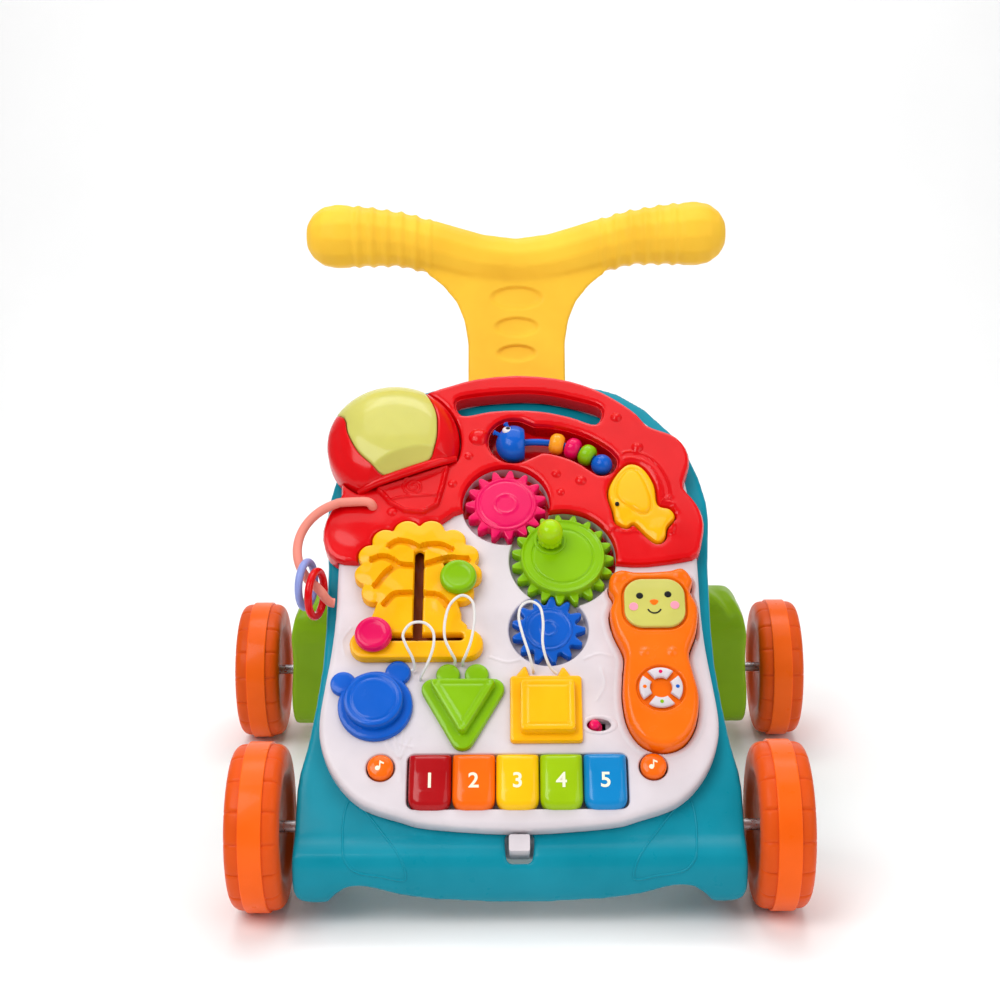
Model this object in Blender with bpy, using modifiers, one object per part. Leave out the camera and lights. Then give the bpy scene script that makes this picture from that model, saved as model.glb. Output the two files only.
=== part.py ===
"""Baby walker with a removable activity panel.  Metres, +Z up, -Y is the front, +X is its right-hand side.

The panel and everything on it is drawn in the panel's own frame: x across, t up the slope from the
bottom edge, h out of the white surface.  Lengths in the helpers below are millimetres."""
import math

import bmesh
import bpy
from mathutils import Matrix, Vector

MM = 0.001
TAU = 2 * math.pi

# ---- driving dimensions, in millimetres ----
WHEEL_RADIUS = 58.0
WHEEL_WIDTH = 36.5
WHEELBASE = 329.5
FRONT_TRACK = 354.8            # between the middles of the front wheels
REAR_TRACK = 440.8
AXLE_RADIUS = 4.0
PANEL_FOOT = (-199.75, 72.0)   # Y, Z of the panel's bottom edge
PANEL_SLOPE = 45.0             # degrees
GAP = 0.3                      # between pieces that touch
PLATE = 2.5                    # wall of the white shell
PANEL_BACK = -11.5             # underside of the white shell
BED = -12.0                    # front surface of the frame
FRAME_BACK = -44.0
FRAME_WALL = 3.5
RED_TOP = 6.0
TREE_TOP = 9.0
SHAPE_FLANGE_TOP = 5.0
SHAPE_TOP = 12.0
FOOT_CLEARANCE = 18.0          # under the frame's two flat feet
FOOT_WIDTH = 32.0
FOLD_PIVOT = (270.0, -61.0)    # t, h of the shaft that the rear legs fold on
HANDLE_Y = 125.5               # the grip bar's place behind the wheelbase's middle
GEAR_MODULE = 3.6
GREEN_TEETH = 19
PINK_TEETH = 15
BLUE_TEETH = 13
GREEN_CENTRE = (32.5, 204.0)
PINK_DIRECTION = 132.0         # degrees, from the green gear's centre
BLUE_DIRECTION = 259.0
BALLOON_CENTRE = (-93.0, 303.0)
BALLOON_RADIUS = 50.0
BEAD_ARC_CENTRE = (13.0, 235.0)
BEAD_ARC_RADIUS = 71.0
BEAD_ROD_RADIUS = 2.6
BEAD_ANGLES = {"bead_orange": 76.1, "bead_pink": 65.9, "bead_green": 56.1}
TAIL_ANGLE = 45.0
HEAD_ANGLE = 102.7
HOOP_CENTRE = (-119.0, 208.5, 11.0)
HOOP_RADIUS = 40.0
RING_RADIUS = 16.2
RING_TUBE = 2.8
RING_HANG = 5.4                # from the hoop's middle to a ring's centre
RING_TURN = 14.0               # degrees that the hanging rings are turned about the vertical
KEY_EDGES = (-75.0, -45.4, -15.8, 13.8, 43.4, 73.0)
KEY_SPAN = (12.0, 51.8)
PHONE_TOP = 12.0
PAD_CENTRE = (98.0, 96.5)
BATTERY_BOX = (-62.0, 58.0, 62.0, 116.0)

COLOURS = {
    "teal": (0.0, 0.32, 0.44), "red": (0.80, 0.01, 0.012), "white": (0.75, 0.73, 0.76),
    "pale_yellow": (1.0, 0.68, 0.08), "yellow": (1.0, 0.56, 0.0), "lime": (0.29, 0.55, 0.0),
    "pink": (0.84, 0.0, 0.12), "blue": (0.0, 0.14, 0.64), "orange": (1.0, 0.19, 0.0),
    "dark_red": (0.5, 0.0, 0.01), "leaf": (0.27, 0.43, 0.01), "lens": (0.72, 0.69, 0.19),
    "lavender": (0.37, 0.42, 0.75), "salmon": (0.87, 0.35, 0.27), "brown": (0.32, 0.07, 0.0),
    "steel": (0.6, 0.6, 0.62), "board": (0.02, 0.2, 0.06), "black": (0.02, 0.02, 0.02),
    "sky": (0.0, 0.23, 0.58), "green": (0.35, 0.58, 0.0),
}


# ---- scene helpers ----
def clear_scene():
    for old in list(bpy.data.objects):
        bpy.data.objects.remove(old, do_unlink=True)


def new_collection(name):
    made = bpy.data.collections.new(name)
    bpy.context.scene.collection.children.link(made)
    return made


def material(colour):
    made = bpy.data.materials.get(colour)
    if made is None:
        made = bpy.data.materials.new(colour)
        made.use_nodes = True
        shader = made.node_tree.nodes["Principled BSDF"]
        shader.inputs["Base Color"].default_value = (*COLOURS[colour], 1.0)
        shader.inputs["Metallic"].default_value = 1.0 if colour == "steel" else 0.0
        shader.inputs["Roughness"].default_value = 0.3
    return made


def place(obj, colour, parent=None, collection=None):
    """Link an object, colour it and hang it under its parent."""
    (collection or PARTS).objects.link(obj)
    if colour and hasattr(obj.data, "materials"):
        obj.data.materials.append(material(colour))
    if parent:
        obj.parent = parent
    return obj


def empty(name, location, rotation=(0.0, 0.0, 0.0), parent=None):
    made = bpy.data.objects.new(name, None)
    made.location = Vector(location) * MM
    made.rotation_euler = [math.radians(angle) for angle in rotation]
    return place(made, None, parent)


def to_mesh(curve_object):
    """Turn a curve object into a mesh object with its caps welded on."""
    bpy.context.view_layer.update()
    evaluated = curve_object.evaluated_get(bpy.context.evaluated_depsgraph_get())
    data = bpy.data.meshes.new_from_object(evaluated)
    shell = bmesh.new()
    shell.from_mesh(data)
    bmesh.ops.remove_doubles(shell, verts=shell.verts, dist=0.00001)
    bmesh.ops.recalc_face_normals(shell, faces=shell.faces)
    shell.to_mesh(data)
    shell.free()
    made = bpy.data.objects.new(curve_object.name, data)
    made.parent = curve_object.parent
    made.matrix_local = curve_object.matrix_local
    for collection in list(curve_object.users_collection):
        collection.objects.link(made)
    name = curve_object.name
    bpy.data.objects.remove(curve_object, do_unlink=True)
    made.name = name
    return made


def plate(name, colour, outline, low, high, parent=None, collection=None, origin=(0.0, 0.0)):
    """A flat outline in x, y with its thickness from low to high along z."""
    curve = bpy.data.curves.new(name, "CURVE")
    curve.dimensions = "2D"
    curve.fill_mode = "BOTH"
    curve.extrude = (high - low) / 2 * MM
    spline = curve.splines.new("POLY")
    spline.points.add(len(outline) - 1)
    for point, (x, y) in zip(spline.points, outline):
        point.co = ((x - origin[0]) * MM, (y - origin[1]) * MM, 0.0, 1.0)
    spline.use_cyclic_u = True
    made = bpy.data.objects.new(name, curve)
    made.location = Vector((origin[0], origin[1], (high + low) / 2)) * MM
    return to_mesh(place(made, colour, parent, collection))


def cutter(name, outline, low, high, parent=None):
    made = plate(name, None, outline, low, high, parent, CUTTERS)
    made.hide_render = True
    made.display_type = "WIRE"
    return made


def turned(name, colour, profile, steps, parent=None, location=(0, 0, 0), rotation=(0, 0, 0), closed=True,
           collection=None):
    """A profile of (radius, height) turned round its own z axis."""
    mesh = bpy.data.meshes.new(name)
    count = len(profile)
    edges = [(i, i + 1) for i in range(count - 1)] + ([(count - 1, 0)] if closed else [])
    mesh.from_pydata([(r * MM, 0.0, z * MM) for r, z in profile], edges, [])
    made = bpy.data.objects.new(name, mesh)
    made.location = Vector(location) * MM
    made.rotation_euler = [math.radians(angle) for angle in rotation]
    screw = made.modifiers.new("turn", "SCREW")
    screw.axis = "Z"
    screw.steps = steps
    screw.render_steps = steps
    screw.use_merge_vertices = True
    screw.merge_threshold = 0.00001
    return place(made, colour, parent, collection)


def turned_cutter(name, profile, steps, parent=None, location=(0, 0, 0), rotation=(0, 0, 0)):
    made = turned(name, None, profile, steps, parent, location, rotation, False, CUTTERS)
    made.hide_render = True
    made.display_type = "WIRE"
    return made


def rod_profile(radius, low, high):
    """An open profile of a plain cylinder, from the axis at the top round to the axis at the bottom."""
    return [(0.0, high), (radius, high), (radius, low), (0.0, low)]


def tube(name, colour, points, radius, parent=None, radii=None, sides=2, collection=None):
    curve = bpy.data.curves.new(name, "CURVE")
    curve.dimensions = "3D"
    curve.bevel_depth = radius * MM
    curve.bevel_resolution = sides
    curve.use_fill_caps = True
    curve.twist_mode = "MINIMUM"
    spline = curve.splines.new("POLY")
    spline.points.add(len(points) - 1)
    for index, co in enumerate(points):
        spline.points[index].co = (*[value * MM for value in co], 1.0)
        spline.points[index].radius = radii[index] / radius if radii else 1.0
    return to_mesh(place(bpy.data.objects.new(name, curve), colour, parent, collection))


def boolean(target, tool, operation):
    step = target.modifiers.new(operation.lower(), "BOOLEAN")
    step.operation = operation
    step.object = tool
    step.solver = "EXACT"


def cut(target, *tools):
    for tool in tools:
        boolean(target, tool, "DIFFERENCE")


def join(target, *tools):
    """Unite solids into the target; the added solids are guides from then on."""
    for tool in tools:
        boolean(target, tool, "UNION")
        guide(tool)


def guide(tool):
    for collection in list(tool.users_collection):
        collection.objects.unlink(tool)
    CUTTERS.objects.link(tool)
    tool.hide_render = True
    tool.display_type = "WIRE"


# ---- outlines ----
def arc(centre, radius, start, end, steps):
    return [(centre[0] + radius * math.cos(math.radians(start + (end - start) * i / steps)),
             centre[1] + radius * math.sin(math.radians(start + (end - start) * i / steps)))
            for i in range(steps + 1)]


def circle(centre, radius, steps=28):
    return arc(centre, radius, 0.0, 360.0, steps)[:-1]


def smooth(points, steps=2):
    """A closed Catmull-Rom curve through the points."""
    made = []
    count = len(points)
    for i in range(count):
        a, b, c, d = (Vector(points[(i + k - 1) % count]) for k in range(4))
        for j in range(steps):
            u = j / steps
            made.append(tuple(0.5 * (2 * b + (c - a) * u + (2 * a - 5 * b + 4 * c - d) * u ** 2
                                     + (3 * b - a - 3 * c + d) * u ** 3)))
    return made


def smooth_path(points, steps):
    """An open Catmull-Rom curve through the points."""
    ends = [Vector(points[0]) * 2 - Vector(points[1])] + [Vector(p) for p in points]
    ends.append(Vector(points[-1]) * 2 - Vector(points[-2]))
    made = []
    for i in range(len(points) - 1):
        a, b, c, d = ends[i:i + 4]
        for j in range(steps):
            u = j / steps
            made.append(0.5 * (2 * b + (c - a) * u + (2 * a - 5 * b + 4 * c - d) * u ** 2
                               + (3 * b - a - 3 * c + d) * u ** 3))
    return made + [Vector(points[-1])]


def grow(points, distance):
    """Move a counter-clockwise outline outwards by a distance, or inwards by a negative one."""
    made = []
    count = len(points)
    for i in range(count):
        before, here, after = (Vector(points[(i + k) % count]) for k in (-1, 0, 1))
        one = (here - before).normalized()
        two = (after - here).normalized()
        normal = Vector((one.y + two.y, -one.x - two.x)).normalized()
        reach = distance / max(0.5, normal.dot(Vector((one.y, -one.x))))
        made.append(tuple(here + normal * reach))
    return made


def mirrored(points):
    """Close a right-hand outline, listed from its bottom to its top, with its mirror image."""
    return points + [(-x, y) for x, y in reversed(points) if x != 0.0]


def rounded(corners, radius, steps=3):
    """A polygon with arcs at its corners."""
    made = []
    count = len(corners)
    for i in range(count):
        before, here, after = (Vector(corners[(i + k) % count]) for k in (-1, 0, 1))
        one = (before - here).normalized()
        two = (after - here).normalized()
        half = one.angle(two) / 2
        centre = here + (one + two).normalized() * (radius / math.sin(half))
        start = here + one * (radius / math.tan(half)) - centre
        end = here + two * (radius / math.tan(half)) - centre
        sweep = math.remainder(math.atan2(end.y, end.x) - math.atan2(start.y, start.x), TAU)
        for j in range(steps + 1):
            angle = math.atan2(start.y, start.x) + sweep * j / steps
            made.append((centre.x + radius * math.cos(angle), centre.y + radius * math.sin(angle)))
    return made


def box_outline(x0, y0, x1, y1, radius=0.0, steps=3):
    corners = [(x0, y0), (x1, y0), (x1, y1), (x0, y1)]
    return rounded(corners, radius, steps) if radius else corners


def capsule(start, end, radius, steps=6):
    along = Vector(end) - Vector(start)
    heading = math.degrees(math.atan2(along.y, along.x))
    return (arc(end, radius, heading - 90, heading + 90, steps)
            + arc(start, radius, heading + 90, heading + 270, steps))


def panel_outline():
    return mirrored([(0, -1), (60, 3), (80, 8), (100, 14.5), (111, 21), (121, 31), (130, 45), (136, 62), (137.5, 80),
                     (135, 105), (132, 130), (130, 160), (130, 205), (128, 245), (122, 285), (110, 310), (86, 334),
                     (58, 351), (30, 360), (0, 363)])


def frame_outline():
    return mirrored([(0, -60), (152, -60), (152, -20), (151.5, 0), (151.6, 34), (150.6, 44), (146, 66), (142, 95), (139, 125),
                     (138, 156), (139, 206), (142, 247), (141, 262), (137, 281), (129, 304), (118, 322), (99, 344),
                     (78, 359), (56, 367), (0, 371)])


def tree_outline(extra=0.0):
    """Ten shallow lobes of leaves on a short neck, with the ground bar under them."""
    centre = Vector((-71.5, 192.5))
    notches = []
    for k in range(11):
        angle = math.radians(-47 + 27.4 * k)
        notches.append(centre + Vector((41 * math.cos(angle), 36 * math.sin(angle))))
    made = []
    for a, b in zip(notches[:-1], notches[1:]):
        across = b - a
        outwards = Vector((across.y, -across.x)).normalized()
        hub = (a + b) / 2 - outwards * 0.16 * across.length
        heading = math.degrees(math.atan2(outwards.y, outwards.x))
        made += arc(hub, 0.525 * across.length, heading - 66, heading + 66, 4)
    left = [(-103, 157), (-105, 152), (-108, 146)] + arc((-107, 133.5), 11.5, 92, 268, 4)
    right = arc((-36, 133.5), 11.5, -88, 88, 4) + [(-36, 148), (-40, 152), (-40, 157)]
    outline = made + left + right
    return grow(outline, extra) if extra else outline


def bird_outline():
    return smooth([(67, 258), (70, 243), (72, 233), (79, 228), (85, 231), (93, 222), (101, 215), (107, 219),
                   (109, 228), (115, 236), (112, 243), (103, 247), (101, 264), (93, 279), (82, 282), (72, 271)], 1)


def phone_outline():
    return smooth([(98, 53), (112, 58), (121, 72), (124, 92), (121, 110), (119, 125), (125, 142), (127, 160),
                   (122.5, 173), (124.5, 183), (118, 191), (109, 190), (96, 189), (83, 189), (75, 190.5), (66.5, 186),
                   (65, 176), (68, 168), (65, 157), (67.5, 142), (74, 125), (73, 110), (72, 92), (75, 72), (84, 58)],
                  1)


def red_outline():
    return [(72, 198), (88, 197), (100, 198), (120, 201), (130, 205), (134, 218), (136, 231), (134, 243), (129, 253),
            (123, 262), (125, 272), (128, 282), (128, 292), (124, 302), (117, 309), (108, 313), (98, 318), (91, 328),
            (80, 338), (66, 348), (50, 356), (30, 362), (0, 365), (-30, 362), (-50, 356), (-70, 348), (-100, 330),
            (-126, 305), (-131, 280), (-130, 258), (-138, 243), (-142, 228), (-140, 213), (-132, 203), (-117, 200),
            (-90, 205), (-60, 230), (-50, 238), (-41, 243), (-12, 246), (28, 205)]


def slot_outline():
    upper = [(64, 334), (42, 343), (20, 348), (0, 349), (-26, 347), (-46, 342)]
    lower = [(-42, 328), (-20, 331.5), (0, 332.5), (20, 331), (40, 326), (60, 319)]
    return lower + upper


def gear_outline(teeth, first_angle, backlash=0.5):
    """An involute-like gear with 20 degree flanks about its own centre, first tooth at first_angle degrees."""
    pitch = GEAR_MODULE * teeth / 2
    half_tooth = (GEAR_MODULE * math.pi / 2 - backlash) / 2
    levels = [(-1.0, 1.40), (0.8, 0.52)]
    made = []
    for tooth in range(teeth):
        middle = math.radians(first_angle) + TAU * tooth / teeth
        left = [(pitch + rise * GEAR_MODULE, width * half_tooth) for rise, width in levels]
        for radius, half in left:
            made.append((radius * math.cos(middle - half / radius), radius * math.sin(middle - half / radius)))
        for radius, half in reversed(left):
            made.append((radius * math.cos(middle + half / radius), radius * math.sin(middle + half / radius)))
    return made


def gear_distance(teeth_a, teeth_b):
    return GEAR_MODULE * (teeth_a + teeth_b) / 2


def beside(centre, direction, distance):
    angle = math.radians(direction)
    return (centre[0] + distance * math.cos(angle), centre[1] + distance * math.sin(angle))


def meshing_angle(driver_teeth, driver_angle, teeth, direction):
    """First-tooth angle of a gear that meshes with a driver in the given direction."""
    return direction + 180 + (direction - driver_angle) * driver_teeth / teeth + 180 / teeth


PINK_CENTRE = beside(GREEN_CENTRE, PINK_DIRECTION, gear_distance(GREEN_TEETH, PINK_TEETH))
BLUE_CENTRE = beside(GREEN_CENTRE, BLUE_DIRECTION, gear_distance(GREEN_TEETH, BLUE_TEETH))
GEARS = {
    "gear_green": (GREEN_CENTRE, GREEN_TEETH, 0.0, "green", 38.5, 2.0, 30.5, 7.0),
    "gear_pink": (PINK_CENTRE, PINK_TEETH, meshing_angle(GREEN_TEETH, 0.0, PINK_TEETH, PINK_DIRECTION), "pink",
                  32.0, 3.0, 22.5, 4.0),
    "gear_blue": (BLUE_CENTRE, BLUE_TEETH, meshing_angle(GREEN_TEETH, 0.0, BLUE_TEETH, BLUE_DIRECTION), "blue",
                  28.0, 0.5, 17.0, 1.5),
}


# ---- running gear ----
def build_wheel(name, x, y):
    """A tyre and rim in one moulding, turned round the axle."""
    half = WHEEL_WIDTH / 2
    bore = AXLE_RADIUS + 0.35
    outward = [(58, 7.2), (58, -7.2), (54.5, -13.5), (46, -half), (37, -half + 1), (33, -half + 5), (bore, -half + 6),
               (bore, half - 9), (36, half - 8), (41, half - 1), (46, half), (54.5, 13.5)]
    turned(name, "orange", outward, 24, None, (x, y, WHEEL_RADIUS), (0, 90 if x > 0 else -90, 0))


def build_axle(name, y, half_length, head_side):
    """A steel rod with a domed head at each end, outside the wheels' hubs."""
    head = [(0.0, half_length), (5, half_length - 0.6), (8.5, half_length - 3), (8.5, half_length - 5),
            (AXLE_RADIUS, half_length - 5)]
    profile = head + [(r, -z) for r, z in reversed(head)]
    turned(name, "steel", profile, 16, None, (0, y, WHEEL_RADIUS), (0, head_side, 0), closed=False)


def side_prism(name, colour, outline_th, half_x, parent, collection=None, middle=0.0):
    """An outline in t, h drawn through the panel's frame and stretched along x."""
    turn = empty(name + "_turn", (middle, 0, 0), (0, 0, 0), parent)
    turn.matrix_local = Matrix(((0, 0, 1, middle * MM), (1, 0, 0, 0), (0, 1, 0, 0), (0, 0, 0, 1)))
    return plate(name, colour, outline_th, -half_x, half_x, turn, collection)


def world_prism_x(name, colour, outline_yz, x0, x1, collection=None):
    """An outline in world y, z stretched along x."""
    turn = empty(name + "_turn", (0, 0, 0))
    turn.matrix_local = Matrix(((0, 0, 1, 0), (1, 0, 0, 0), (0, 1, 0, 0), (0, 0, 0, 1)))
    return plate(name, colour, outline_yz, x0, x1, turn, collection)


def world_prism_y(name, colour, outline_xz, y0, y1, collection=None):
    """An outline in world x, z stretched along y."""
    turn = empty(name + "_turn", (0, 0, 0))
    turn.matrix_local = Matrix(((1, 0, 0, 0), (0, 0, -1, 0), (0, 1, 0, 0), (0, 0, 0, 1)))
    return plate(name, colour, outline_xz, -y1, -y0, turn, collection)


def to_panel(y, z):
    """World y, z to the panel's t, h."""
    dy, dz = y - PANEL_FOOT[0], z - PANEL_FOOT[1]
    slope = math.radians(PANEL_SLOPE)
    return (dy * math.cos(slope) + dz * math.sin(slope), dz * math.cos(slope) - dy * math.sin(slope))


def to_world(t, h):
    slope = math.radians(PANEL_SLOPE)
    return (PANEL_FOOT[0] + t * math.cos(slope) - h * math.sin(slope),
            PANEL_FOOT[1] + t * math.sin(slope) + h * math.cos(slope))


def build_frame(panel):
    base_front = to_panel(-WHEELBASE / 2 - 36, FOOT_CLEARANCE)
    base_back = to_panel(-WHEELBASE / 2 + 50, FOOT_CLEARANCE)
    belly_back = to_panel(-WHEELBASE / 2 + 13, 52)
    outer = [(-2.2, BED), (-9, -9.2), (-17, -8.5), (-25, -13), (-32, -21), (-37, -30), base_front, base_back,
             (belly_back[0] + 14, belly_back[1] - 6), (60, FRAME_BACK), (348, FRAME_BACK), (362, -38), (370, -26),
             (368, -15), (362, BED)]
    frame = side_prism("front_frame", "teal", list(reversed(outer)), 158, panel)
    boolean(frame, cutter("frame_front_view", frame_outline(), -150, 20, panel), "INTERSECT")
    # the inside, open at the back and underneath
    inner = [(8, BED - FRAME_WALL), (-10, -12.5), (-24, -17), (-33, -33), (-70, -90), (20, -170), (200, -120),
             (400, -90), (352, -30), (352, BED - FRAME_WALL)]
    hollow = side_prism("frame_hollow", None, list(reversed(inner)), 164, panel, CUTTERS)
    inside_view = [(x, t) if t > 42 else (math.copysign(150 - FOOT_WIDTH, x), t) if x else (x, t)
                   for x, t in grow(frame_outline(), -FRAME_WALL)]
    inside = cutter("frame_inside_view", inside_view, -200, 20, panel)
    boolean(hollow, inside, "INTERSECT")
    guide(hollow)
    cut(frame, hollow)
    x0, t0, x1, t1 = BATTERY_BOX
    cut(frame, cutter("battery_box_window", box_outline(x0 - 3, t0 - 3, x1 + 3, t1 + 3, 6), BED - 9, BED + 5, panel))
    cut(frame, cutter("latch_window", box_outline(-8.5, -20.5, 8.5, -0.5, 2), -30, 4, panel))
    for side in (-1, 1):
        arch = [(side * x, z) for x, z in ((15, 5), (25, 18.5), (55, 20.5), (80, 25), (98, 31), (108, 33), (117, 31),
                                           (125, 24), (130, 16), (133, 5))]
        heel = [(side * x, z) for x, z in ((142, 5), (142, 17.9), (147, 19.4), (150, 22.5), (151.7, 27), (152.3, 33),
                                           (158, 33), (158, 5))]
        for name, outline in (("foot_arch", arch), ("foot_heel", heel)):
            made = world_prism_y(f"{name}_{side}", None, outline if side < 0 else list(reversed(outline)), -260, 0,
                                 CUTTERS)
            guide(made)
            cut(frame, made)
    axle_hole = turned_cutter("front_axle_hole", rod_profile(AXLE_RADIUS + 0.4, -170, 170), 16, None,
                              (0, -WHEELBASE / 2, WHEEL_RADIUS), (0, 90, 0))
    cut(frame, axle_hole)

    cover_outline = [p for p in grow(frame_outline(), -FRAME_WALL - GAP) if p[1] > 90]
    cover_outline = [(-x, 66) for x in (-138,)] + cover_outline + [(-138, 66)]
    cover_outline = [(x, min(t, 347)) for x, t in cover_outline]
    cover = plate("frame_back_cover", "teal", cover_outline, FRAME_BACK, FRAME_BACK + 3, panel)
    pivot_t, pivot_h = FOLD_PIVOT
    for side in (-1, 1):
        ear = capsule((pivot_t, pivot_h), (pivot_t, FRAME_BACK + 2), 11, 5)
        join(cover, side_prism(f"hinge_ear_{side}", "teal", ear, 12, panel, None, side * 84))
    y, z = to_world(*FOLD_PIVOT)
    cut(cover, turned_cutter("hinge_hole", rod_profile(4.4, -120, 120), 16, None, (0, y, z), (0, 90, 0)))
    return frame


def build_latch(panel):
    latch = plate("panel_latch", "white", box_outline(-7, -14.5, 7, -3, 1.5), -21, -4.5, panel)
    join(latch, plate("latch_flange", "white", box_outline(-11, -13, 11, 3), -23.5, -20.5, panel))


def build_handle(frame):
    """A T-shaped grip: a flat neck that flares into a gull-wing bar with ball ends."""
    y = HANDLE_Y
    foot = to_world(318, -28)
    throat = to_world(368, -28)
    spine = smooth_path([foot, to_world(345, -28), throat, (y - 21, 357), (y - 7, 396), (y - 2, 418)], 3)
    half = 10.5
    front_side = []
    back_side = []
    for i, point in enumerate(spine):
        ahead = (spine[min(i + 1, len(spine) - 1)] - spine[max(i - 1, 0)]).normalized()
        front_side.append((point.x - ahead.y * half, point.y + ahead.x * half))
        back_side.append((point.x + ahead.y * half, point.y - ahead.x * half))
    neck_side = back_side + list(reversed(front_side))
    neck = world_prism_x("handle", "pale_yellow", neck_side, -90, 90)
    flare = mirrored([(0, 240), (38, 240), (38, 352), (41, 369), (47, 383), (58, 396), (74, 408), (80, 424), (0, 424)])
    view = world_prism_y("handle_front_view", None, flare, 0, 260, CUTTERS)
    guide(view)
    boolean(neck, view, "INTERSECT")
    stations = [(0, 411, 20.5), (30, 414.5, 20.8), (55, 421.5, 21), (90, 431, 22), (120, 433.5, 24.5),
                (142.5, 434, 25.5), (153, 434, 23.4), (161, 434, 17.5), (166, 434, 9)]
    bar = [(-x, y, z) for x, z, r in reversed(stations[1:])] + [(x, y, z) for x, z, r in stations]
    radii = [r for x, z, r in reversed(stations[1:])] + [r for x, z, r in stations]
    join(neck, tube("grip_bar", "pale_yellow", bar, 20, None, radii, 4))
    # the frame is open where the neck goes in
    socket_side = world_prism_x("neck_socket", None, grow(neck_side, GAP), -38 - GAP, 38 + GAP, CUTTERS)
    guide(socket_side)
    cut(frame, socket_side)


def build_rear_frame():
    axle = (WHEELBASE / 2, WHEEL_RADIUS)
    pivot = to_world(*FOLD_PIVOT)
    knee = (120, 114)
    elbow = (108, 130)
    for name, side in (("rear_leg_left", -1), ("rear_leg_right", 1)):
        def span(inner, outer):
            return (inner, outer) if side > 0 else (-outer, -inner)

        leg = world_prism_x(name, "leaf", capsule(axle, knee, 30, 8), *span(156, 192))
        pod = world_prism_x(name + "_pod", "leaf", circle(axle, 38, 24), *span(157, 192))
        shin = world_prism_x(name + "_shin", "leaf", capsule((144, 48), knee, 30, 8), *span(156.5, 191.5))
        link = world_prism_x(name + "_link", "leaf", circle(elbow, 18, 16), *span(100, 182))
        arm = world_prism_x(name + "_arm", "leaf", capsule(elbow, pivot, 15, 6), *span(99, 123))
        join(leg, pod, shin, link, arm)
        hinge = turned_cutter(name + "_hinge_hole", rod_profile(4.4, -130, 130), 16, None, (0, *pivot), (0, 90, 0))
        hole = turned_cutter(name + "_axle_hole", rod_profile(AXLE_RADIUS + GAP, -240, 240), 16, None, (0, *axle),
                             (0, 90, 0))
        cut(leg, hinge, hole)
    tube("rear_cross_bar", "leaf", [(-98.7, *elbow), (98.7, *elbow)], 9, None, None, 3)
    turned("hinge_shaft", "steel", rod_profile(4.0, -126, 126), 16, None, (0, *pivot), (0, 90, 0), closed=False)


def build_running_gear():
    for name, x, y in (("wheel_front_left", -FRONT_TRACK / 2, -WHEELBASE / 2),
                       ("wheel_front_right", FRONT_TRACK / 2, -WHEELBASE / 2),
                       ("wheel_rear_left", -REAR_TRACK / 2, WHEELBASE / 2),
                       ("wheel_rear_right", REAR_TRACK / 2, WHEELBASE / 2)):
        build_wheel(name, x, y)
    build_axle("front_axle", -WHEELBASE / 2, FRONT_TRACK / 2 + WHEEL_WIDTH / 2 - 2.5, 90)
    build_axle("rear_axle", WHEELBASE / 2, REAR_TRACK / 2 + WHEEL_WIDTH / 2 - 2.5, 90)


# ---- panel ----
def tree_slots(parent):
    """Cutters for the trunk, the ground slot and the branches."""
    runs = [((-71, 139), (-71, 211), 3.0), ((-102.2, 138.5), (-41, 138.5), 2.6), ((-71, 210), (-88, 214), 2.6),
            ((-71, 210), (-53, 213), 2.6), ((-71, 200), (-103, 201.5), 2.6), ((-92, 200.5), (-101, 183), 2.6),
            ((-71, 200), (-50, 199.5), 2.6), ((-51.3, 199), (-42.2, 183.4), 2.6), ((-71, 175), (-91, 167), 2.6),
            ((-71, 175), (-54, 168), 2.6)]
    return [cutter(f"tree_slot_{i}", capsule(a, b, r, 2), -2, TREE_TOP + 2, parent)
            for i, (a, b, r) in enumerate(runs)]


def shape_outlines():
    """Flange, raised face and peg outlines of the three shape pieces, with their ears."""
    circle_ears = [circle((-122, 105), 9, 10), circle((-84, 113), 9, 10)]
    triangle_ears = [circle((-49, 111), 8.5, 10), circle((-29, 111), 8.5, 10)]
    square_ears = [rounded([(-5, 106), (9, 106), (5, 119)], 1.5, 2), rounded([(25, 106), (39, 106), (31, 118)], 1.5, 2)]
    return {
        "shape_circle": ("blue", circle((-99, 88), 26, 24), circle_ears, circle((-100, 91.5), 19.5, 20), (-99, 90)),
        "shape_triangle": ("green", rounded([(-73, 108), (-38.5, 46), (-4, 108)], 8, 4), triangle_ears,
                           rounded([(-63, 105), (-38.7, 62), (-14, 105)], 3, 3), (-38.5, 88)),
        "shape_square": ("yellow", box_outline(-6, 60, 44, 110, 3), square_ears, box_outline(1, 65.5, 39, 104, 3),
                         (19, 85)),
    }


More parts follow.
